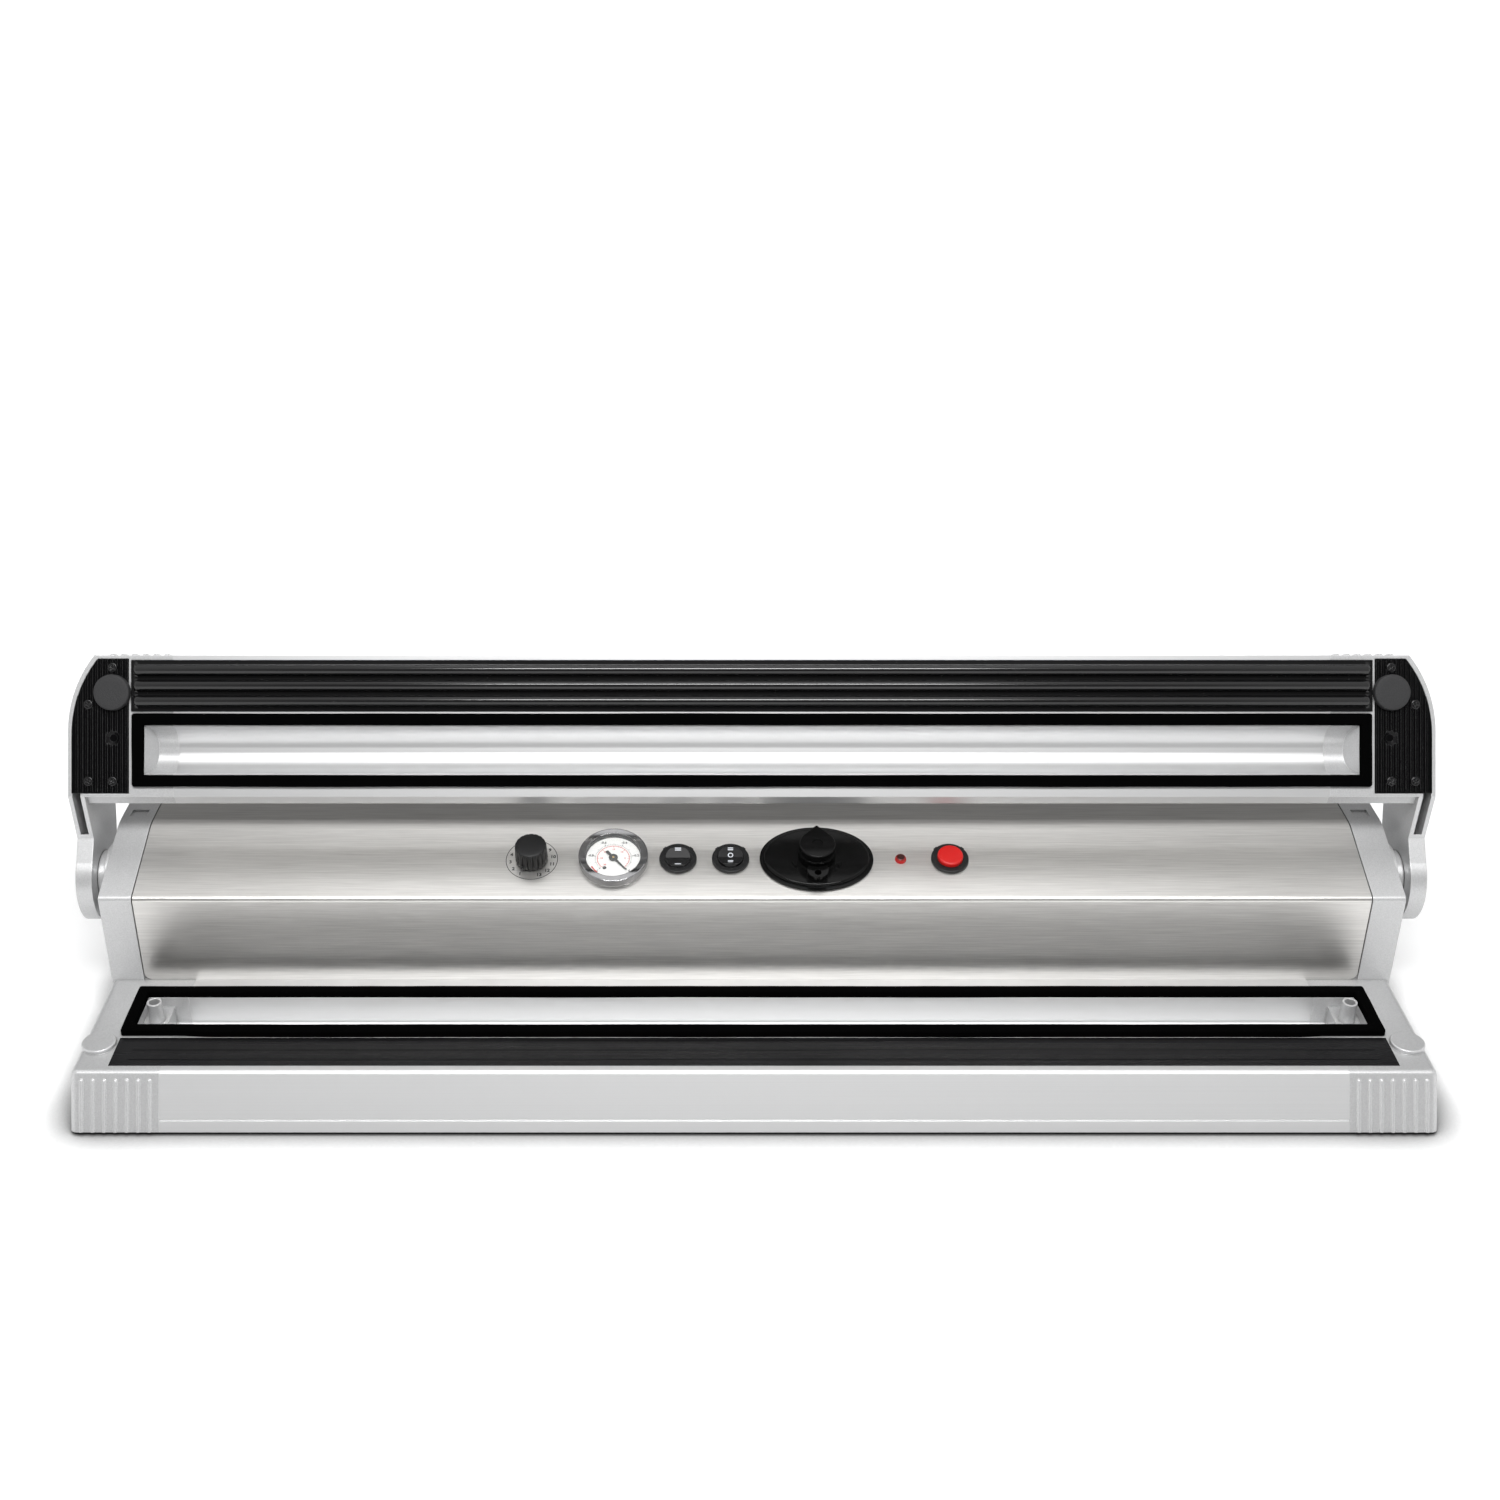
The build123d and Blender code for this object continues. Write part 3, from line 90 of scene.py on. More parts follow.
def clusters(node, reach, matrix):
    """Boxes of the separate solids of a node whose solids lie further apart than reach."""
    groups = []
    for vertex in frame["nodes"][node].data.vertices:
        point = matrix @ vertex.co
        for low, high in groups:
            if ((low + high) / 2 - point).length < reach:
                for i in range(3):
                    low[i] = min(low[i], point[i])
                    high[i] = max(high[i], point[i])
                break
        else:
            groups.append((point.copy(), point.copy()))
    return groups


# Shading: a wire carries a value, a tree adds nodes
bevel_samples = 4
crevice_samples = 6


class Wire:
    def __init__(self, tree, socket):
        self.tree = tree
        self.socket = socket

    def math(self, operation, first, second):
        return self.tree.add("ShaderNodeMath", {"operation": operation}, {0: first, 1: second})

    def __add__(self, other):
        return self.math("ADD", self, other)

    def __rsub__(self, other):
        return self.math("SUBTRACT", other, self)

    def __mul__(self, other):
        return self.math("MULTIPLY", self, other)

    def __truediv__(self, other):
        return self.math("DIVIDE", self, other)

    def __pow__(self, other):
        return self.math("POWER", self, other)

    def __or__(self, other):
        return self.math("MAXIMUM", self, other)

    __radd__ = __add__
    __rmul__ = __mul__


class Tree:
    def __init__(self, owner):
        owner.use_nodes = True
        self.nodes = owner.node_tree.nodes
        self.links = owner.node_tree.links
        self.nodes.clear()

    def add(self, kind, settings=None, sockets=None, out=0):
        node = self.nodes.new(kind)
        for key, value in (settings or {}).items():
            if key == "stops":
                self.set_stops(node.color_ramp.elements, value)
            else:
                setattr(node, key, value)
        for key, value in (sockets or {}).items():
            if isinstance(value, Wire):
                self.links.new(value.socket, node.inputs[key])
            else:
                node.inputs[key].default_value = value
        return Wire(self, node.outputs[out]) if node.outputs else node

    def vector(self, operation, first, second=None):
        """A vector sum; its answer is one number for a length or a dot product."""
        sockets = {0: first} if second is None else {0: first, 1: second}
        out = "Value" if operation in ("LENGTH", "DOT_PRODUCT") else "Vector"
        return self.add("ShaderNodeVectorMath", {"operation": operation}, sockets, out)

    def tint(self, factor, first, second):
        return self.add("ShaderNodeMix", {"data_type": "RGBA"}, {0: factor, 6: first, 7: second}, out=2)

    def set_stops(self, elements, stops):
        while len(elements) < len(stops):
            elements.new(1.0)
        for element, (place, level) in zip(elements, stops):
            element.position = place
            element.color = (level, level, level, 1)


class Finish(Tree):
    """A surface finish whose patterns lie in the object's own metres."""

    def __init__(self, name):
        self.material = bpy.data.materials.new(name)
        super().__init__(self.material)
        self.place = self.add("ShaderNodeTexCoord", out="Object")

    def stretched(self, scale):
        return self.add("ShaderNodeMapping", None, {"Vector": self.place, "Scale": scale})

    def grain(self, scale, detail=2.0):
        sockets = {"Vector": self.stretched(scale), "Scale": 1.0, "Detail": detail}
        return self.add("ShaderNodeTexNoise", None, sockets)

    def cells(self, scale, output="Distance"):
        sockets = {"Vector": self.stretched(scale), "Scale": 1.0}
        return self.add("ShaderNodeTexVoronoi", None, sockets, out=output)

    def stepped(self, value, stops):
        return self.add("ShaderNodeValToRGB", {"stops": stops}, {"Fac": value})

    def eased(self, radius):
        return self.add("ShaderNodeBevel", {"samples": bevel_samples}, {"Radius": radius})

    def edges(self, eased):
        """One on rounded-over edges, nought on the flats; the finishes paint highlights on these edges."""
        flat = self.add("ShaderNodeNewGeometry", out="Normal")
        return self.stepped(1 - self.vector("DOT_PRODUCT", eased, flat), [(0.0, 0.0), (0.12, 1.0)])

    def crevice_shade_mask(self, reach):
        """One deep in gaps and corners, nought in the open; it marks where shade is painted into the colour.
        """
        settings = {"samples": crevice_samples}
        open_air = self.add("ShaderNodeAmbientOcclusion", settings, {"Distance": reach}, out="AO")
        return self.stepped(open_air, [(0.30, 1.0), (0.85, 0.0)])

    def bump(self, height, strength, depth, normal=None):
        sockets = {"Height": height, "Strength": strength, "Distance": depth}
        if normal:
            sockets["Normal"] = normal
        return self.add("ShaderNodeBump", None, sockets)

    def surface(self, sockets):
        shader = self.add("ShaderNodeBsdfPrincipled", None, sockets)
        self.add("ShaderNodeOutputMaterial", None, {"Surface": shader})
        return self.material


def colour(red, green, blue):
    return (red, green, blue, 1.0)


# Metals
def brushed_steel():
    finish = Finish("brushed_steel")
    fine = finish.grain((60, 3200, 3200), 3)
    broad = finish.grain((26, 950, 950), 3)
    cloud = finish.grain((4, 7, 7))
    brush = fine * 0.45 + broad * 0.55
    return finish.surface({
        "Base Color": finish.tint(brush, colour(0.47, 0.46, 0.442), colour(0.90, 0.885, 0.86)),
        "Metallic": 1.0,
        "Roughness": 0.27 + brush * 0.10 + cloud * 0.05,
        "Normal": finish.bump(fine, 0.75, 0.05 * mm),
    })


def aluminium(name, low, high, rough):
    finish = Finish(name)
    die_lines = finish.grain((2, 1700, 1700), 3)
    blast = finish.grain((3800, 3800, 3800), 2)
    eased = finish.eased(0.5 * mm)
    tone = die_lines * 0.5 + blast * 0.5
    return finish.surface({
        "Base Color": finish.tint(tone, low, high),
        "Metallic": 1.0,
        "Roughness": rough + blast * 0.10,
        "Normal": finish.bump(tone, 0.12, 0.03 * mm, eased),
    })


def satin_aluminium():
    return aluminium("satin_aluminium", colour(0.62, 0.622, 0.624), colour(0.72, 0.722, 0.724), 0.38)


# Matt aluminium for the front rail: rougher than the satin aluminium, and painted lighter so that the rail
# reads more brightly lit.
def lightened_matt_rail():
    return aluminium("lightened_matt_rail", colour(0.67, 0.672, 0.674), colour(0.77, 0.772, 0.774), 0.46)


def zinc_steel():
    finish = Finish("zinc_steel")
    spangle = finish.cells((260, 260, 260), "Color")
    scuff = finish.grain((500, 900, 900), 4)
    tone = finish.tint(0.35, scuff, spangle)
    return finish.surface({
        "Base Color": finish.tint(tone, colour(0.50, 0.51, 0.53), colour(0.66, 0.67, 0.69)),
        "Metallic": 1.0,
        "Roughness": 0.26 + scuff * 0.18,
        "Normal": finish.bump(scuff, 0.1, 0.05 * mm),
    })


def chrome_ring():
    finish = Finish("chrome_ring")
    haze = finish.grain((300, 300, 300), 4)
    return finish.surface({
        "Base Color": finish.tint(haze, colour(0.24, 0.24, 0.245), colour(0.32, 0.32, 0.325)),
        "Metallic": 1.0,
        "Roughness": 0.05 + haze * 0.06,
        "Normal": finish.bump(haze, 0.03, 0.05 * mm, finish.eased(0.4 * mm)),
    })


def cast_pump():
    finish = Finish("cast_pump")
    sand = finish.grain((1400, 1400, 1400), 4)
    return finish.surface({
        "Base Color": finish.tint(sand, colour(0.48, 0.49, 0.50), colour(0.64, 0.65, 0.66)),
        "Metallic": 1.0,
        "Roughness": 0.42 + sand * 0.2,
        "Normal": finish.bump(sand, 0.4, 0.2 * mm),
    })


def dark_metal():
    finish = Finish("dark_metal")
    peel = finish.grain((900, 900, 900), 3)
    return finish.surface({
        "Base Color": finish.tint(peel, colour(0.07, 0.07, 0.075), colour(0.13, 0.13, 0.135)),
        "Roughness": 0.38 + peel * 0.2,
        "Normal": finish.bump(peel, 0.15, 0.1 * mm),
    })


def seal_wire():
    finish = Finish("seal_wire")
    drawn = finish.grain((20, 4000, 4000), 3)
    return finish.surface({
        "Base Color": finish.tint(drawn, colour(0.44, 0.43, 0.41), colour(0.62, 0.60, 0.57)),
        "Metallic": 1.0,
        "Roughness": 0.3 + drawn * 0.15,
    })


def brass_tip():
    finish = Finish("brass_tip")
    turned = finish.grain((2500, 2500, 2500), 2)
    return finish.surface({
        "Base Color": finish.tint(turned, colour(0.62, 0.42, 0.16), colour(0.78, 0.56, 0.24)),
        "Metallic": 1.0,
        "Roughness": 0.22 + turned * 0.15,
    })


# Plastics, rubber and foam
def silver_plastic():
    finish = Finish("silver_plastic")
    flakes = finish.cells((2100, 2100, 2100), "Color")
    mould = finish.grain((1500, 1500, 1500), 2)
    cloud = finish.grain((10, 10, 10))
    eased = finish.eased(0.8 * mm)
    painted_edge_highlight = finish.edges(eased)
    base = finish.tint(flakes, colour(0.50, 0.502, 0.505), colour(0.61, 0.612, 0.615))
    # Painted shade: the colour is darkened in gaps and corners.
    base_with_painted_shade = finish.tint(finish.crevice_shade_mask(2.0 * mm) * 0.75, base, colour(0.07, 0.07, 0.07))
    return finish.surface({
        # Painted highlight: rounded edges are painted near white.
        "Base Color": finish.tint(painted_edge_highlight * 0.55, base_with_painted_shade, colour(0.88, 0.88, 0.88)),
        "Metallic": 0.55,
        "Roughness": 0.34 + mould * 0.08 + cloud * 0.06,
        "Normal": finish.bump(mould, 0.1, 0.05 * mm, eased),
    })


def black_plastic():
    finish = Finish("black_plastic")
    spark = finish.grain((2600, 2600, 2600), 3)
    eased = finish.eased(0.35 * mm)
    painted_edge_highlight = finish.edges(eased)
    base = finish.tint(spark, colour(0.003, 0.003, 0.0033), colour(0.009, 0.009, 0.0095))
    return finish.surface({
        # Painted highlight: rounded edges are painted pale grey.
        "Base Color": finish.tint(painted_edge_highlight * 0.6, base, colour(0.10, 0.10, 0.10)),
        "Roughness": 0.28 + spark * 0.22,
        "Specular IOR Level": 0.32,
        "Normal": finish.bump(spark, 0.18, 0.05 * mm, eased),
    })


def ribbed_plate():
    finish = Finish("ribbed_plate")
    drag = finish.grain((2600, 300, 300), 3)
    scuff = finish.stepped(finish.grain((700, 260, 260), 4), [(0.60, 0.0), (0.78, 1.0)])
    eased = finish.eased(0.22 * mm)
    painted_edge_highlight = finish.edges(eased)
    base = finish.tint(drag, colour(0.0012, 0.0012, 0.0014), colour(0.003, 0.003, 0.0033))
    return finish.surface({
        # Painted highlight: rounded edges are painted grey, more strongly in the random scuffed patches.
        "Base Color": finish.tint(painted_edge_highlight * (0.45 + scuff * 0.4), base, colour(0.16, 0.16, 0.16)),
        "Roughness": 0.15 + drag * 0.06 + scuff * 0.10,
        "Specular IOR Level": 0.16,
        "Normal": finish.bump(drag, 0.05, 0.03 * mm, eased),
    })


def black_screw():
    finish = Finish("black_screw")
    turned = finish.grain((3200, 3200, 3200), 2)
    eased = finish.eased(0.2 * mm)
    painted_edge_highlight = finish.edges(eased)
    return finish.surface({
        # Painted highlight: the rounded edges of the head and recess are painted grey.
        "Base Color": finish.tint(painted_edge_highlight * 0.8, colour(0.008, 0.008, 0.0085), colour(0.16, 0.16, 0.16)),
        "Roughness": 0.14 + turned * 0.14,
        "Specular IOR Level": 0.55,
        "Normal": finish.bump(turned, 0.05, 0.03 * mm, eased),
    })


def grained_rest():
    finish = Finish("grained_rest")
    hide = finish.cells((1050, 1050, 1050))
    spark = finish.grain((2400, 2400, 2400), 3)
    return finish.surface({
        "Base Color": finish.tint(spark, colour(0.016, 0.016, 0.017), colour(0.044, 0.044, 0.045)),
        "Roughness": 0.55 + hide * 0.2,
        "Specular IOR Level": 0.25,
        "Normal": finish.bump(hide, 0.55, 0.2 * mm),
    })


def gloss_black():
    finish = Finish("gloss_black")
    haze = finish.grain((45, 45, 45), 3)
    swirl = finish.grain((900, 260, 900), 4)
    return finish.surface({
        "Base Color": finish.tint(haze, colour(0.002, 0.002, 0.002), colour(0.005, 0.005, 0.005)),
        "Roughness": 0.11 + swirl * 0.10,
        "Specular IOR Level": 0.14,
        "Normal": finish.bump(swirl, 0.03, 0.05 * mm, finish.eased(0.4 * mm)),
    })


def seal_tape():
    finish = Finish("seal_tape")
    weave = finish.add("ShaderNodeTexWave", {"wave_type": "BANDS", "bands_direction": "Y"},
                       {"Vector": finish.place, "Scale": 700.0, "Distortion": 0.4, "Detail": 1.0})
    creases = finish.grain((3, 420, 420), 3)
    cloud = finish.grain((9, 22, 22), 3)
    return finish.surface({
        "Base Color": finish.tint(cloud, colour(0.005, 0.005, 0.0055), colour(0.012, 0.012, 0.013)),
        "Roughness": 0.17 + creases * 0.14 + cloud * 0.06,
        "Specular IOR Level": 0.2,
        "Normal": finish.bump(weave * 0.35 + creases * 0.65, 0.12, 0.06 * mm),
    })


def black_foam():
    finish = Finish("black_foam")
    pores = finish.cells((1900, 1900, 1900))
    lumps = finish.grain((160, 160, 160), 4)
    tone = pores * 0.6 + lumps * 0.4
    return finish.surface({
        "Base Color": finish.tint(tone, colour(0.0003, 0.0003, 0.0003), colour(0.0016, 0.0016, 0.0017)),
        "Roughness": 0.80 + pores * 0.15,
        "Specular IOR Level": 0.01,
        "Normal": finish.bump(pores * 0.7 + lumps * 0.3, 0.6, 0.25 * mm),
    })


def black_silicone():
    finish = Finish("black_silicone")
    drag = finish.grain((9, 900, 900), 3)
    dust = finish.stepped(finish.grain((520, 1300, 1300), 4), [(0.66, 0.0), (0.80, 1.0)])
    base = finish.tint(drag, colour(0.003, 0.003, 0.0033), colour(0.007, 0.007, 0.0073))
    return finish.surface({
        "Base Color": finish.tint(dust * 0.12, base, colour(0.20, 0.20, 0.19)),
        "Roughness": 0.15 + drag * 0.07 + dust * 0.15,
        "Specular IOR Level": 0.52,
        "Normal": finish.bump(drag, 0.06, 0.05 * mm),
    })


def black_rubber():
    finish = Finish("black_rubber")
    bloom = finish.grain((60, 60, 60), 4)
    spark = finish.grain((2200, 2200, 2200), 2)
    return finish.surface({
        "Base Color": finish.tint(bloom, colour(0.014, 0.014, 0.014), colour(0.034, 0.034, 0.034)),
        "Roughness": 0.62 + spark * 0.2,
        "Normal": finish.bump(spark, 0.25, 0.1 * mm),
    })


def seal_backing():
    finish = Finish("seal_backing")
    fibre = finish.grain((140, 1900, 1900), 4)
    return finish.surface({
        "Base Color": finish.tint(fibre, colour(0.42, 0.33, 0.22), colour(0.60, 0.50, 0.37)),
        "Roughness": 0.58 + fibre * 0.2,
        "Normal": finish.bump(fibre, 0.2, 0.1 * mm),
    })


def red_button():
    finish = Finish("red_button")
    mould = finish.grain((1200, 1200, 1200), 3)
    cloud = finish.grain((70, 70, 70))
    return finish.surface({
        "Base Color": finish.tint(cloud, colour(0.48, 0.003, 0.002), colour(0.58, 0.005, 0.004)),
        "Roughness": 0.27 + mould * 0.12,
        "Subsurface Weight": 0.08,
        "Subsurface Radius": (0.002, 0.0006, 0.0005),
        "Normal": finish.bump(mould, 0.06, 0.05 * mm, finish.eased(0.3 * mm)),
    })


lens_radius = 3.6 * mm


def red_lamp():
    """Dark in the middle of the lens and red round its rim."""
    finish = Finish("red_lamp")
    low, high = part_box("lamp_lens")
    middle = ((low.x + high.x) / 2, timer_spot.y, timer_spot.z)
    aside = finish.vector("CROSS_PRODUCT", finish.vector("SUBTRACT", finish.place, middle), panel_normal)
    rim = finish.stepped(finish.vector("LENGTH", aside) / lens_radius, [(0.55, 0.0), (0.95, 1.0)])
    speck = finish.grain((1500, 1500, 1500), 3)
    return finish.surface({
        "Base Color": finish.tint(rim, colour(0.030, 0.004, 0.003), colour(0.42, 0.008, 0.006)),
        "Roughness": 0.12 + speck * 0.12,
        "Specular IOR Level": 0.4,
    })


def white_dial():
    finish = Finish("white_dial")
    paper = finish.grain((1800, 1800, 1800), 4)
    return finish.surface({
        "Base Color": finish.tint(paper, colour(0.80, 0.80, 0.78), colour(0.88, 0.88, 0.86)),
        "Roughness": 0.55 + paper * 0.15,
    })


def printed(name, ink, ghost):
    finish = Finish(name)
    blot = finish.grain((4200, 4200, 4200), 3)
    return finish.surface({
        "Base Color": finish.tint(blot, ink, ghost),
        "Roughness": 0.45 + blot * 0.2,
    })


def clear_lens():
    finish = Finish("clear_lens")
    smear = finish.grain((180, 520, 180), 4)
    return finish.surface({
        "Base Color": finish.tint(smear, colour(0.90, 0.93, 0.94), colour(0.96, 0.98, 0.98)),
        "Roughness": 0.02 + smear * 0.05,
        "Alpha": 0.03 + smear * 0.03,
        "Specular IOR Level": 0.3,
    })


def board_green():
    finish = Finish("board_green")
    tracks = finish.cells((170, 170, 170))
    return finish.surface({
        "Base Color": finish.tint(tracks, colour(0.02, 0.13, 0.05), colour(0.05, 0.24, 0.10)),
        "Roughness": 0.35 + tracks * 0.2,
    })


finishes = {made.__name__: made() for made in (
    brushed_steel, satin_aluminium, zinc_steel, chrome_ring, cast_pump, dark_metal, seal_wire, silver_plastic,
    black_plastic, gloss_black, seal_tape, black_foam, black_silicone, black_rubber, seal_backing, red_button,
    red_lamp, white_dial, clear_lens, board_green)}
finishes["needle_black"] = printed("needle_black", colour(0.008, 0.008, 0.008), colour(0.020, 0.020, 0.020))
black_ink = printed("black_ink", colour(0.010, 0.010, 0.010), colour(0.030, 0.030, 0.030))
red_ink = printed("red_ink", colour(0.52, 0.025, 0.02), colour(0.62, 0.05, 0.04))
pale_ink = printed("pale_ink", colour(0.60, 0.63, 0.68), colour(0.74, 0.76, 0.80))
rest_grain = grained_rest()
plate_ribs = ribbed_plate()
screw_black = black_screw()
brass = brass_tip()
own_finish = {
    "front_rail": lightened_matt_rail(),
    "lid_end_plate_left": plate_ribs,
    "lid_end_plate_right": plate_ribs,
}

for subpart in frame["record"]["subparts"]:
    mesh = frame["nodes"][subpart["node"]].data
    mesh.materials.clear()
    mesh.materials.append(own_finish.get(subpart["node"], finishes[subpart["material_slot"]]))


# Shape makers, all drawn in millimetres
round_angles = (pi / 6, pi / 3, pi / 2)
corner_steps = 4
numeral_steps = 3


def prism(bm, points, z0, z1):
    rings = [[bm.verts.new((x, y, z)) for x, y in points] for z in (z0, z1)]
    bm.faces.new(rings[0][::-1])
    bm.faces.new(rings[1])
    join_rings(bm, rings)


def join_rings(bm, rings):
    count = len(rings[0])
    for near, far in zip(rings, rings[1:]):
        for i in range(count):
            k = (i + 1) % count
            bm.faces.new((near[i], near[k], far[k], far[i]))


def lathe(bm, profile, count, wobble=None):
    """Turns a profile of (radius, height) about Z and closes both ends."""
    rings = []
    for radius, height in profile:
        ring = []
        for i in range(count):
            angle = tau * i / count
            reach = radius + (wobble(angle, height) if wobble else 0.0)
            ring.append(bm.verts.new((reach * cos(angle), reach * sin(angle), height)))
        rings.append(ring)
    join_rings(bm, rings)
    bm.faces.new(rings[0][::-1])
    bm.faces.new(rings[-1])


def turned_ring(bm, profile, count):
    """Turns a closed profile of (radius, height) about Z."""
    angles = [tau * i / count for i in range(count)]
    rings = []
    for radius, height in profile:
        rings.append([bm.verts.new((radius * cos(a), radius * sin(a), height)) for a in angles])
    join_rings(bm, rings + rings[:1])


def arc_band(bm, radius, width, start, end, z0, z1, steps):
    angles = [start + (end - start) * i / steps for i in range(steps + 1)]
    outer = [((radius + width / 2) * cos(a), (radius + width / 2) * sin(a)) for a in angles]
    inner = [((radius - width / 2) * cos(a), (radius - width / 2) * sin(a)) for a in reversed(angles)]
    prism(bm, outer + inner, z0, z1)


def tick(bm, angle, r0, r1, width, z0, z1):
    along = Vector((cos(angle), sin(angle)))
    side = Vector((-along.y, along.x)) * width / 2
    corners = [along * r0 - side, along * r1 - side, along * r1 + side, along * r0 + side]
    prism(bm, [(c.x, c.y) for c in corners], z0, z1)


def numeral(bm, text, size, spot, z0, thick, weight):
    """A plain number as a thin printed layer, centred on a spot."""
    curve = bpy.data.curves.new("numeral", "FONT")
    curve.body = text
    curve.size = size
    curve.align_x = "CENTER"
    curve.align_y = "CENTER"
    curve.offset = weight
    curve.extrude = thick / 2
    curve.resolution_u = numeral_steps
    holder = bpy.data.objects.new("numeral", curve)
    mesh = bpy.data.meshes.new_from_object(holder)
    mesh.transform(Matrix.Translation((spot[0], spot[1], z0 + thick / 2)))
    bm.from_mesh(mesh)
    bpy.data.objects.remove(holder)
    bpy.data.curves.remove(curve)
    bpy.data.meshes.remove(mesh)


def piece(name, bm, finish, body, place, crease=35, stands_for=()):
    """Makes a visible piece that moves with a body; edges sharper than the crease angle stay sharp."""
    mesh = bpy.data.meshes.new(name)
    bmesh.ops.recalc_face_normals(bm, faces=bm.faces)
    bm.to_mesh(mesh)
    bm.free()
    mesh.transform(Matrix.Scale(mm, 4))
    mesh.transform(place)
    mesh.materials.append(finish)
    mesh.shade_smooth()
    mesh.set_sharp_from_angle(angle=radians(crease))
    made = bpy.data.objects.new(name, mesh)
    scene.collection.objects.link(made)
    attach(made, body)
    if stands_for:
        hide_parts(*stands_for)
    return made


# Foam frames: a soft bar laid round a rectangle, its edges cut a little unevenly
foam_step = 4.0
foam_edge = 1.0
foam_ripple = 0.28
foam_dip = 0.25
foam_corner = 0.25
foam_crease = 50
ripple_along = 0.013
ripple_across = 0.05
dip_pace = 2.1
inner_seed = Vector((7, 3, 1))
dip_seed = Vector((1, 9, 4))
top_shares = (0.33, 0.67)


def frame_path(half, y0, y1, corner):
    """Points round a rounded rectangle, with the outward direction at each."""
    path = []
    corners = [(half - corner, y0 + corner, -pi / 2), (half - corner, y1 - corner, 0.0),
               (corner - half, y1 - corner, pi / 2), (corner - half, y0 + corner, pi)]
    for i, (x, y, start) in enumerate(corners):
        for k in range(corner_steps + 1):
            angle = start + pi / 2 * k / corner_steps
            out = Vector((cos(angle), sin(angle)))
            path.append((Vector((x, y)) + out * corner, out))
        here = path[-1][0]
        next_x, next_y, next_start = corners[(i + 1) % len(corners)]
        there = Vector((next_x, next_y)) + Vector((cos(next_start), sin(next_start))) * corner
        count = max(1, int((there - here).length / foam_step))
        for k in range(1, count):
            path.append((here.lerp(there, k / count), path[-1][1]))
    return path


def bar_section(width, height, edge):
    """Across a foam bar from its outer foot over the top to its inner foot."""
    section = [(0.0, 0.0), (0.0, height - edge)]
    section += [(edge * (1 - cos(a)), height - edge + edge * sin(a)) for a in round_angles]
    middle = [(width * share, height) for share in top_shares]
    return section + middle + [(width - u, v) for u, v in reversed(section)]


def foam_frame(name, box, bar, faces_up, sag, place, body, stands_for):
    low, high = box
    half = high.x / mm
    y0, y1 = low.y / mm, high.y / mm
    height = (high.z - low.z) / mm
    foot = (low.z if faces_up else high.z) / mm
    rise = 1.0 if faces_up else -1.0
    bm = bmesh.new()
    rings = []
    for point, out in frame_path(half, y0, y1, bar * foam_corner):
        seed = Vector((point.x * ripple_along, point.y * ripple_across, half))
        outer = foam_ripple * noise.noise(seed) - foam_ripple / 2 + sag(point, out)
        inner = foam_ripple * noise.noise(seed + inner_seed)
        dip = foam_dip * abs(noise.noise(seed * dip_pace + dip_seed))
        ring = []
        for u, v in bar_section(bar, height, foam_edge):
            share = u / bar
            shift = outer * (1 - share) + inner * share - u
            spot = point + out * shift
            level = foot + rise * v * (1 - dip / height)
            ring.append(bm.verts.new((spot.x, spot.y, level)))
        rings.append(ring)
    join_rings(bm, rings + rings[:1])
    made = piece(name, bm, finishes["black_foam"], body, place, foam_crease, stands_for)


base_gasket_bar = 7.2
lid_gasket_bar = 7.3
front_bow = 1.25
bow_start = 322.0
bow_end = 340.0
front_facing = -0.9


def front_sag(point, out):
    """The front bar of the base frame lies over the gap beside the seal strip, except near its ends."""
    if out.y > front_facing:
        return 0.0
    share = min(max((bow_end - abs(point.x)) / (bow_end - bow_start), 0.0), 1.0)
    return front_bow * share * share * (3 - 2 * share)


def no_sag(point, out):
    return 0.0


base_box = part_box("base_gasket")
lid_box = box_when("lid_gasket", lid_shut)
foam_frame("base_foam_frame", base_box, base_gasket_bar, True, front_sag, still, "base", ["base_gasket"])
foam_frame("lid_foam_frame", lid_box, lid_gasket_bar, False, no_sag, lid_open, "lid", ["lid_gasket"])

# Silicone press bar: three soft ribs on a flat back
rib_pitch = 9.4
rib_radius = 3.2
rib_valley = 0.8
bar_end_round = 2.6
strip_thick = 3.0
strip_tongue = 2.0
rib_fillet = 0.5
rib_steps = 8
bar_crease = 40


def press_profile(width, tall, proud):
    """Outline of the bar from its back corner over the ribs; the ribs point down."""
    points = [(-width / 2, tall), (-width / 2, -rib_valley)]
    for i in (-1, 0, 1):
        centre = i * rib_pitch
        points.append((centre - rib_radius - rib_fillet, -rib_valley))
        points.append((centre - rib_radius, -rib_valley - rib_fillet))
        for k in range(rib_steps + 1):
            angle = pi + pi * k / rib_steps
            points.append((centre + rib_radius * cos(angle), rib_radius - proud + rib_radius * sin(angle)))
        points.append((centre + rib_radius, -rib_valley - rib_fillet))
        points.append((centre + rib_radius + rib_fillet, -rib_valley))
    return points + [(width / 2, -rib_valley), (width / 2, tall)]


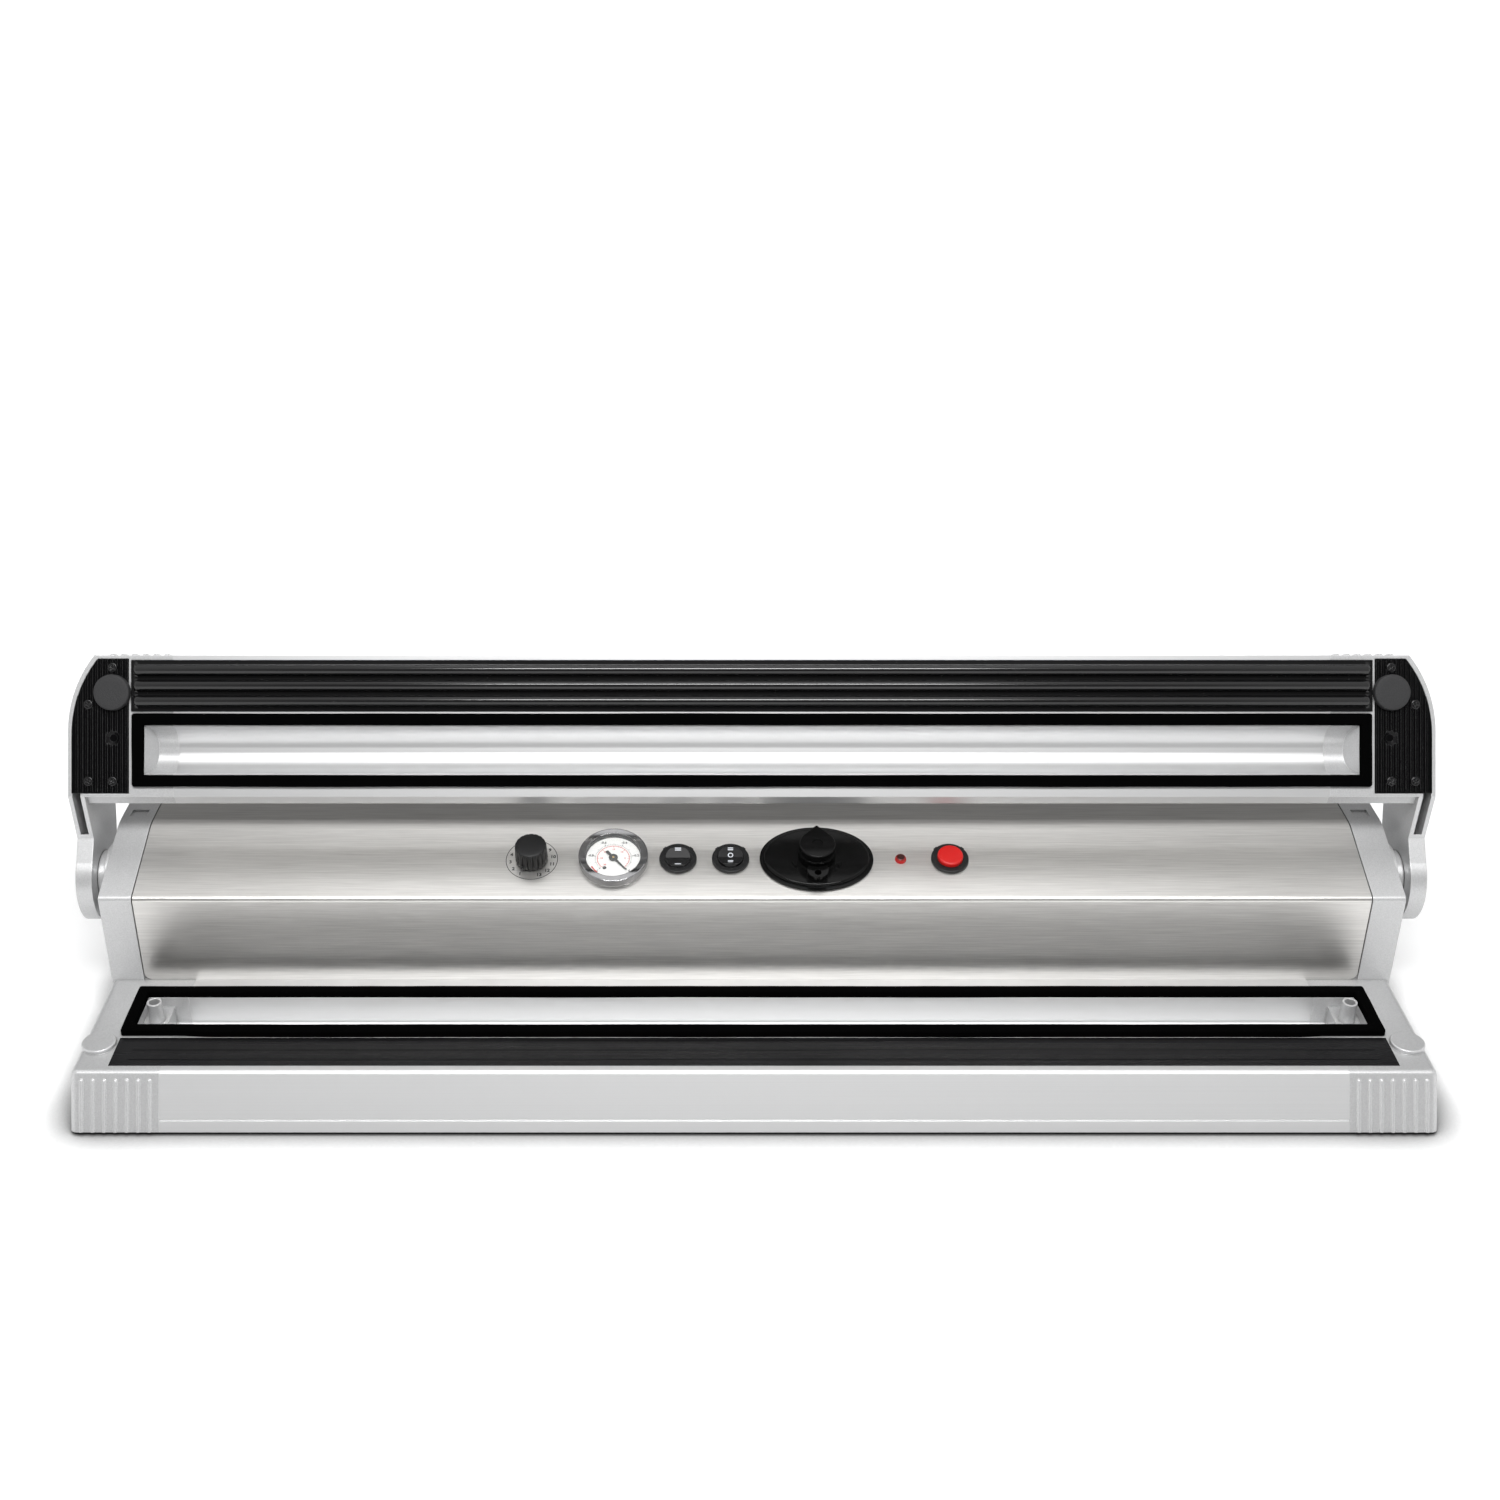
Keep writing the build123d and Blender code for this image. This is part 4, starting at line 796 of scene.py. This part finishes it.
def silicone_bar():
    low, high = box_when("press_bar", lid_shut)
    half = high.x / mm
    middle = (low.y + high.y) / 2 / mm
    width = (high.y - low.y) / mm
    seat = high.z / mm - strip_thick
    profile = press_profile(width, strip_thick, seat - low.z / mm)
    rib_end = half - strip_tongue
    stations = [(-half, bar_end_round), (half, bar_end_round)]
    for k in range(corner_steps + 1):
        angle = pi / 2 * k / corner_steps
        x = rib_end - bar_end_round * (1 - cos(angle))
        inset = bar_end_round * (1 - sin(angle))
        stations += [(-x, inset), (x, inset)]
    bm = bmesh.new()
    rings = []
    for x, inset in sorted(stations):
        share = 1 - inset / bar_end_round
        ring = []
        for u, v in profile:
            level = v if v > -rib_valley else -rib_valley + (v + rib_valley) * share
            ring.append(bm.verts.new((x, middle + u, seat + level)))
        rings.append(ring)
    join_rings(bm, rings)
    bm.faces.new(rings[0])
    bm.faces.new(rings[-1][::-1])
    finish = finishes["black_silicone"]
    piece("silicone_press_bar", bm, finish, "lid", lid_open, bar_crease, ["press_bar"])


silicone_bar()

# Grained rests on the lid ends
rest_spread = 60 * mm
rest_sides = 64
rest_rim = 1.1
rest_dish = 0.05
dish_outer = 0.6
dish_inner = 0.25


def lid_rests():
    rim = rest_rim
    for i, (low, high) in enumerate(clusters("lid_pads", rest_spread, lid_shut)):
        radius = (high.x - low.x) / 2 / mm
        tall = (high.z - low.z) / mm
        profile = [(radius, 0.0), (radius, rim - tall)]
        profile += [(radius - rim * (1 - cos(a)), rim - tall - rim * sin(a)) for a in round_angles]
        profile += [(radius * dish_outer, -tall + rest_dish), (radius * dish_inner, -tall)]
        bm = bmesh.new()
        lathe(bm, profile, rest_sides)
        spot = Matrix.Translation(((low.x + high.x) / 2, (low.y + high.y) / 2, high.z))
        replaced = ["lid_pads"] if i == 0 else []
        name = f"lid_rest_{i}"
        piece(name, bm, rest_grain, "lid", lid_open @ spot, stands_for=replaced)


lid_rests()

# Screws with cross recesses
cross_width = 0.75
cross_reach = 1.55
cross_depth = 0.7
cross_taper = 0.8
screw_spread = 9 * mm
screw_sides = 48
head_tall = 1.3
head_crown = 0.45
shank_share = 0.53
spin_pace = 0.37


def cross_points(reach, width):
    half = width / 2
    arm = [(half, half), (half, reach), (-half, reach)]
    points = []
    for k in range(4):
        c, s = cos(k * pi / 2), sin(k * pi / 2)
        points += [(c * x - s * y, s * x + c * y) for x, y in arm]
    return points


def cross_screw(bm, radius, length, place):
    """A pan head that points up Z with its shank below."""
    tall, crown = head_tall, head_crown
    shank = radius * shank_share
    profile = [(shank, tall - length), (shank, 0.0), (radius, 0.0), (radius, tall - crown)]
    profile += [(radius - crown * (1 - cos(a)), tall - crown + crown * sin(a)) for a in round_angles]
    angles = [tau * i / screw_sides for i in range(screw_sides)]
    rings = []
    for r, z in profile:
        rings.append([bm.verts.new(place @ Vector((r * cos(a), r * sin(a), z))) for a in angles])
    join_rings(bm, rings)
    bm.faces.new(rings[0][::-1])
    points = cross_points(cross_reach, cross_width)
    mouth = [bm.verts.new(place @ Vector((x, y, tall))) for x, y in points]
    deep = [(x * cross_taper, y * cross_taper, tall - cross_depth) for x, y in points]
    floor = [bm.verts.new(place @ Vector(point)) for point in deep]
    join_rings(bm, [mouth, floor])
    bm.faces.new(floor)
    edges = []
    for ring in (rings[-1], mouth):
        for i, vertex in enumerate(ring):
            edges.append(bm.edges.get((vertex, ring[(i + 1) % len(ring)])))
    bmesh.ops.triangle_fill(bm, use_beauty=True, use_dissolve=False, edges=edges)


def screws(name, node, body, finish, matrix, axis, inward):
    """Replaces a node of screws that lie along an axis; inward is the axis's sense into the part."""
    bm = bmesh.new()
    for low, high in clusters(node, screw_spread, matrix):
        across = (axis + 1) % 3
        radius = (high[across] - low[across]) / 2 / mm
        length = (high[axis] - low[axis]) / mm
        head = Vector((low + high) / 2) / mm
        head[axis] = (low[axis] if inward > 0 else high[axis]) / mm + inward * head_tall
        out = Vector((0, 0, 0))
        out[axis] = -inward
        turn = out.to_track_quat("Z", "Y").to_matrix().to_4x4()
        spin = Matrix.Rotation(head.x * spin_pace, 4, "Z")
        cross_screw(bm, radius, length, Matrix.Translation(head) @ turn @ spin)
    piece(name, bm, finish, body, matrix.inverted(), stands_for=[node])


screws("lid_cross_screws", "lid_screws", "lid", screw_black, lid_shut, 2, 1)
screws("rear_cross_screws", "rear_screws", "base", finishes["zinc_steel"], still, 1, -1)
screws("bottom_cross_screws", "bottom_screws", "base", finishes["zinc_steel"], still, 2, 1)

# Printed layers: how far they stand off what carries them, and how thick they are
print_lift = 0.02
print_thick = 0.04

# Timer: printed scale, fluted knob with a pointer
timer_numbers = 13
timer_first = radians(240)
timer_step = radians(25.6)
timer_ring_radius = 15.8
timer_number_radius = 13.2
timer_number_size = 3.3
timer_number_weight = 0.13
timer_ring_width = 0.42
timer_ring_steps = 160
knob_flutes = 18
flute_sides = 12
flute_depth = 0.75
flute_sharpness = 1.6
flute_fade = 3.0
flute_least = 0.25
knob_gap = 0.8
knob_tall = 13.0
knob_crown = 1.3
knob_foot = 0.3
knob_draft = 0.25
knob_steps = 6
knob_round = (pi / 6, pi / 3, pi / 2.2)
knob_hollow = ((0.70, 4.0), (0.74, 0.0))  # share of the radius, height above the foot
knob_dome = ((0.6, 0.08), (0.2, 0.02))  # share of the radius, depth below the top
pointer_reach = 1.9
pointer_half = 0.9
pointer_root = 0.6
pointer_tall = 2.2


def timer_scale():
    bm = bmesh.new()
    z1 = print_lift + print_thick
    arc_band(bm, timer_ring_radius, timer_ring_width, 0.0, tau, print_lift, z1, timer_ring_steps)
    for i in range(timer_numbers):
        angle = timer_first - i * timer_step
        spot = (timer_number_radius * cos(angle), timer_number_radius * sin(angle))
        numeral(bm, str(i + 1), timer_number_size, spot, print_lift, print_thick, timer_number_weight)
    piece("timer_scale", bm, black_ink, "base", panel_frame(timer_spot))


def flute(angle, height):
    """How far the knob's side is cut in at an angle; the cut fades out towards the top."""
    wave = abs(sin(angle * knob_flutes / 2))
    fade = min(1.0, max(flute_least, (knob_gap + knob_tall - height) / flute_fade))
    return -flute_depth * (1 - wave) ** 2 * flute_sharpness * fade


def timer_grip():
    low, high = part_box("timer_knob")
    radius = (high.x - low.x) / 2 / mm
    gap, crown, foot = knob_gap, knob_crown, knob_foot
    top = gap + knob_tall
    profile = [(radius * share, gap + rise) for share, rise in knob_hollow]
    profile += [(radius - foot, gap), (radius, gap + foot)]
    for k in range(1, knob_steps + 1):
        rise = (knob_tall - crown - foot) * k / knob_steps
        profile.append((radius - knob_draft * k / knob_steps, gap + foot + rise))
    side = profile[-1][0]
    profile += [(side - crown * (1 - cos(a)), top - crown + crown * sin(a)) for a in knob_round]
    profile += [(radius * share, top - drop) for share, drop in knob_dome]
    bm = bmesh.new()
    lathe(bm, profile, knob_flutes * flute_sides, flute)
    tip = Vector((cos(timer_first), sin(timer_first)))
    aside = Vector((-tip.y, tip.x)) * pointer_half
    root = tip * (radius - pointer_root)
    corners = [root - aside, tip * (radius + pointer_reach), root + aside]
    prism(bm, [(c.x, c.y) for c in corners], gap, gap + pointer_tall)
    place = panel_frame(timer_spot)
    finish = finishes["black_plastic"]
    piece("timer_grip", bm, finish, "timer", place, stands_for=["timer_knob"])


timer_scale()
timer_grip()

# Gauge: printed dial, sleeve, needle with its counterweight
dial_top = 1.2
gauge_start = radians(-45)
gauge_sweep = radians(270)
gauge_units = 5
scale_low = dial_top + print_lift
scale_high = scale_low + print_thick

# Black scale outside, with a round stamp low on the dial
black_steps = 50
black_root = 10.7
black_long, black_middle, black_short = 12.3, 11.9, 11.4
black_bold, black_fine = 0.42, 0.26
black_number = {"radius": 14.1, "size": 2.3, "weight": 0.08}
stamp_spot = Vector((-5.2, -7.6))
stamp_radius = 1.25
stamp_sides = 24

# Red scale inside, with a red zone at the end of the black one
red_steps = 30
red_numbers = 6
red_radius = 9.9
red_long, red_short = 8.7, 9.2
red_bold, red_fine = 0.30, 0.18
red_arc_width = 0.34
red_arc_steps = 96
red_number = {"radius": 7.2, "size": 1.7, "weight": 0.04}
zone_radius = 14.6
zone_width = 0.9
zone_start, zone_end = 0.93, 1.02
zone_steps = 16

sleeve_outer, sleeve_inner = 17.15, 16.75
sleeve_foot, sleeve_top = dial_top + 0.02, 2.95
sleeve_sides = 96

# Needle: blade and tail are outlines over the dial, hub and pin are (radius, height above the needle's foot)
needle_level = dial_top + 0.7
needle_thick = 0.35
needle_rest = radians(-50)
needle_blade = [(2.0, -0.75), (10.5, -0.48), (13.3, 0.0), (10.5, 0.48), (2.0, 0.75)]
needle_tail = [(-6.3, -1.0), (-1.5, -0.75), (-1.5, 0.75), (-6.3, 1.0), (-6.7, 0.6), (-6.7, -0.6)]
spindle_foot = (0.7, -6.0)
hub_shape = [(0.7, -0.1), (2.7, -0.1), (2.75, 0.35), (2.4, 0.62), (1.0, 0.68)]
hub_sides = 40
pin_shape = [(0.75, 0.66), (0.75, 0.8), (0.5, 0.9), (0.2, 0.93)]
pin_sides = 24


def gauge_angle(share):
    return gauge_start + gauge_sweep * share


def scale_number(bm, text, share, radius, size, weight):
    angle = gauge_angle(share)
    numeral(bm, text, size, (radius * cos(angle), radius * sin(angle)), scale_low, print_thick, weight)


def gauge_black_scale():
    bm = bmesh.new()
    for i in range(black_steps + 1):
        bold = i % 10 == 0
        end = black_long if bold else black_middle if i % 5 == 0 else black_short
        width = black_bold if bold else black_fine
        tick(bm, gauge_angle(i / black_steps), black_root, end, width, scale_low, scale_high)
    for i in range(gauge_units + 1):
        text = "0" if i == 0 else "-1" if i == gauge_units else f"-0.{2 * i}"
        scale_number(bm, text, i / gauge_units, **black_number)
    angles = [tau * i / stamp_sides for i in range(stamp_sides)]
    stamp = [(stamp_spot.x + stamp_radius * cos(a), stamp_spot.y + stamp_radius * sin(a)) for a in angles]
    prism(bm, stamp, scale_low, scale_high)
    piece("gauge_black_scale", bm, black_ink, "base", panel_frame(gauge_spot))


def gauge_red_scale():
    bm = bmesh.new()
    first, last = gauge_angle(0), gauge_angle(1)
    arc_band(bm, red_radius, red_arc_width, first, last, scale_low, scale_high, red_arc_steps)
    for i in range(red_steps + 1):
        bold = i % 5 == 0
        end = red_long if bold else red_short
        width = red_bold if bold else red_fine
        tick(bm, gauge_angle(i / red_steps), red_radius, end, width, scale_low, scale_high)
    for i in range(1, red_numbers + 1):
        scale_number(bm, str(5 * i), i / red_numbers, **red_number)
    first, last = gauge_angle(zone_start), gauge_angle(zone_end)
    arc_band(bm, zone_radius, zone_width, first, last, scale_low, scale_high, zone_steps)
    piece("gauge_red_scale", bm, red_ink, "base", panel_frame(gauge_spot))


def gauge_sleeve():
    bm = bmesh.new()
    outside = [(sleeve_outer, sleeve_foot), (sleeve_outer, sleeve_top)]
    inside = [(sleeve_inner, sleeve_top), (sleeve_inner, sleeve_foot)]
    turned_ring(bm, outside + inside, sleeve_sides)
    piece("gauge_sleeve", bm, finishes["black_plastic"], "base", panel_frame(gauge_spot))


def gauge_pointer():
    place = panel_frame(gauge_spot) @ Matrix.Rotation(needle_rest, 4, "Z")
    bm = bmesh.new()
    for outline in (needle_blade, needle_tail):
        prism(bm, outline, needle_level, needle_level + needle_thick)
    lathe(bm, [spindle_foot] + [(radius, needle_level + rise) for radius, rise in hub_shape], hub_sides)
    finish = finishes["needle_black"]
    piece("gauge_pointer", bm, finish, "needle", place, stands_for=["gauge_needle"])
    pin = bmesh.new()
    lathe(pin, [(radius, needle_level + rise) for radius, rise in pin_shape], pin_sides)
    piece("gauge_pointer_pin", pin, brass, "needle", place)


gauge_black_scale()
gauge_red_scale()
gauge_sleeve()
gauge_pointer()

# Marks on the rockers, laid on their sloped faces
rocker_pivot = -1.0 * mm
rocker_peak = 4.0
rocker_valley = 2.4
rocker_reach = 7.7
mark_bar = 0.62
ring_sides = 32
mode_tilt = 7.0
mode_bars = (4.9, 6.1, -5.3)
mode_bar_width = 3.8
source_tilt = 0.0
source_bars = (5.0, 6.2, -3.4, -4.6)
source_bar_width = mode_bar_width * 0.85
source_ring_spot = 1.3
source_ring_radius = 1.1
source_ring_width = 0.55


def rocker_level(y):
    return rocker_valley + (rocker_peak - rocker_valley) * abs(y) / rocker_reach


def rocker_bar(bm, y, width):
    half = width / 2
    y0, y1 = y - mark_bar / 2, y + mark_bar / 2
    rings = []
    for lift in (print_lift, print_lift + print_thick):
        z0, z1 = rocker_level(y0) + lift, rocker_level(y1) + lift
        corners = ((-half, y0, z0), (half, y0, z0), (half, y1, z1), (-half, y1, z1))
        rings.append([bm.verts.new(corner) for corner in corners])
    bm.faces.new(rings[0][::-1])
    bm.faces.new(rings[1])
    join_rings(bm, rings)


def rocker_ring(bm, y, radius, width):
    outer = radius + width
    low, high = print_lift, print_lift + print_thick
    rings = []
    for r, lift in ((radius, low), (outer, low), (outer, high), (radius, high)):
        ring = []
        for i in range(ring_sides):
            angle = tau * i / ring_sides
            across, along = r * cos(angle), y + r * sin(angle)
            ring.append(bm.verts.new((across, along, rocker_level(along) + lift)))
        rings.append(ring)
    join_rings(bm, rings + rings[:1])


def rocker_marks(name, node, body, tilt, draw):
    bm = bmesh.new()
    draw(bm)
    lift = Matrix.Translation((0, 0, rocker_pivot))
    place = panel_frame_of(node) @ lift @ Matrix.Rotation(radians(tilt), 4, "X") @ lift.inverted()
    piece(name, bm, pale_ink, body, place)


def mode_marks(bm):
    for y in mode_bars:
        rocker_bar(bm, y, mode_bar_width)


def source_marks(bm):
    for y in source_bars:
        rocker_bar(bm, y, source_bar_width)
    rocker_ring(bm, source_ring_spot, source_ring_radius, source_ring_width)


rocker_marks("mode_marks", "mode_rocker", "mode_toggle", mode_tilt, mode_marks)
rocker_marks("source_marks", "source_rocker", "source_toggle", source_tilt, source_marks)

# Stage: floor, lamps, camera
photo_side = 1500.0
camera_focal = 1890.0
camera_centre_x = 705.0
camera_pitch = 28.5
sensor = 36.0
camera_spot = Vector((-28.4, -987.4, 716.5)) * mm
sky_low = 1.0
sky_high = 0.85
sky_back = 0.10
back_start = 0.42
back_end = 0.80
front_start = 0.66
front_end = 0.94
sky_front = 0.12
front_way = Vector((0, -cos(radians(camera_pitch)), sin(radians(camera_pitch))))
sky_foot, sky_top = 0.05, 1.0
soft_low = 0.36
soft_high = 0.40
soft_foot, soft_top = 0.0, 0.9
# Floor glow by distance from the footprint: weak near it, which paints shade round the part.
glow_near = 0.03
glow_far = 1.2
glow_weak = 0.20
glow_strong = 0.60
# Painted contact shadow: how far, how strongly and how finely the floor colour is darkened near the part.
contact_reach = 0.03
contact_power = 3.0
contact_samples = 8
floor_half = 12.0
foot_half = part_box("bottom_plate")[1]
lamp_aim = Vector((0.0, 0.0, 0.1))
key_spot = Vector((0.0, -1.0, 1.76))
key_width, key_depth, key_watts = 1.4, 0.38, 38
rear_spot = Vector((0.0, 0.42, 1.65))
rear_width, rear_depth, rear_watts = 1.3, 0.85, 3.2


def seen_rays(tree):
    """One for rays from the camera, from mirrors and through glass."""
    seen = tree.add("ShaderNodeLightPath", out="Is Camera Ray")
    for name in ("Is Glossy Ray", "Is Transmission Ray"):
        seen = seen | tree.add("ShaderNodeLightPath", out=name)
    return seen


def ranged(tree, value, low, high, start, end):
    sockets = {"Value": value, "From Min": low, "From Max": high, "To Min": start, "To Max": end}
    return tree.add("ShaderNodeMapRange", {"interpolation_type": "SMOOTHSTEP"}, sockets)


def pale_floor():
    """Pale floor, white far from the part; the glow is weak near the part, so that its shadow stays, and this
    fading glow paints shade round the footprint. Close to the part the colour is darkened into a painted
    contact shadow.
    """
    bm = bmesh.new()
    signs = ((-1, -1), (1, -1), (1, 1), (-1, 1))
    bm.faces.new([bm.verts.new((x * floor_half, y * floor_half, 0.0)) for x, y in signs])
    mesh = bpy.data.meshes.new("floor")
    bm.to_mesh(mesh)
    bm.free()
    material = bpy.data.materials.new("pale_floor")
    tree = Tree(material)
    place = tree.add("ShaderNodeTexCoord", out="Object")
    away = tree.vector("SUBTRACT", tree.vector("ABSOLUTE", place), (foot_half.x, foot_half.y, 0))
    reach = tree.vector("LENGTH", tree.vector("MAXIMUM", away, (0, 0, 0)))
    # Painted shade: the glow fades towards the part's footprint.
    glow = seen_rays(tree) * (ranged(tree, reach, 0.0, glow_near, 0.0, glow_weak)
                              + ranged(tree, reach, glow_near, glow_far, 0.0, glow_strong))
    settings = {"samples": contact_samples}
    # Painted contact shadow: ambient occlusion darkens the floor colour near the part.
    near = tree.add("ShaderNodeAmbientOcclusion", settings, {"Distance": contact_reach}, out="AO")
    pale = tree.tint(near ** contact_power, colour(0.05, 0.05, 0.05), colour(0.90, 0.90, 0.90))
    matte = tree.add("ShaderNodeBsdfDiffuse", None, {"Color": pale})
    light = tree.add("ShaderNodeEmission", None, {"Color": colour(1, 1, 1), "Strength": glow})
    both = tree.add("ShaderNodeAddShader", None, {0: matte, 1: light})
    tree.add("ShaderNodeOutputMaterial", None, {"Surface": both})
    mesh.materials.append(material)
    floor = bpy.data.objects.new("floor", mesh)
    scene.collection.objects.link(floor)


def studio_world():
    """Soft white from above; what the metal mirrors is dark behind the part and where the viewer stands."""
    world = bpy.data.worlds.new("studio")
    scene.world = world
    tree = Tree(world)
    way = tree.add("ShaderNodeTexCoord", out="Generated")
    height = tree.add("ShaderNodeSeparateXYZ", None, {0: way}, out="Z")
    depth = tree.add("ShaderNodeSeparateXYZ", None, {0: way}, out="Y")
    level = ranged(tree, height, sky_foot, sky_top, sky_low, sky_high)
    level = level * ranged(tree, depth, back_start, back_end, 1.0, sky_back)
    facing = tree.vector("DOT_PRODUCT", way, front_way)
    level = level * ranged(tree, facing, front_start, front_end, 1.0, sky_front)
    fill = ranged(tree, height, soft_foot, soft_top, soft_low, soft_high)
    soft = tree.add("ShaderNodeBackground", None, {"Color": colour(0.99, 0.995, 1.0), "Strength": fill})
    white = tree.add("ShaderNodeBackground", None, {"Color": colour(1, 1, 1), "Strength": level})
    both = tree.add("ShaderNodeMixShader", None, {0: seen_rays(tree), 1: soft, 2: white})
    tree.add("ShaderNodeOutputWorld", None, {"Surface": both})


def soft_lamp(name, spot, width, depth, watts):
    light = bpy.data.lights.new(name, "AREA")
    light.shape = "RECTANGLE"
    light.size = width
    light.size_y = depth
    light.energy = watts
    lamp = bpy.data.objects.new(name, light)
    lamp.location = spot
    lamp.rotation_euler = (lamp_aim - spot).to_track_quat("-Z", "Y").to_euler()
    scene.collection.objects.link(lamp)


def photo_camera():
    data = bpy.data.cameras.new("camera")
    data.sensor_width = sensor
    data.lens = sensor * camera_focal / photo_side
    data.shift_x = 0.5 - camera_centre_x / photo_side
    camera = bpy.data.objects.new("camera", data)
    camera.location = camera_spot
    camera.rotation_euler = (radians(90 - camera_pitch), 0, 0)
    scene.collection.objects.link(camera)
    scene.camera = camera


pale_floor()
studio_world()
soft_lamp("key", key_spot, key_width, key_depth, key_watts)
soft_lamp("rear", rear_spot, rear_width, rear_depth, rear_watts)
photo_camera()
scene.view_settings.view_transform = "Standard"
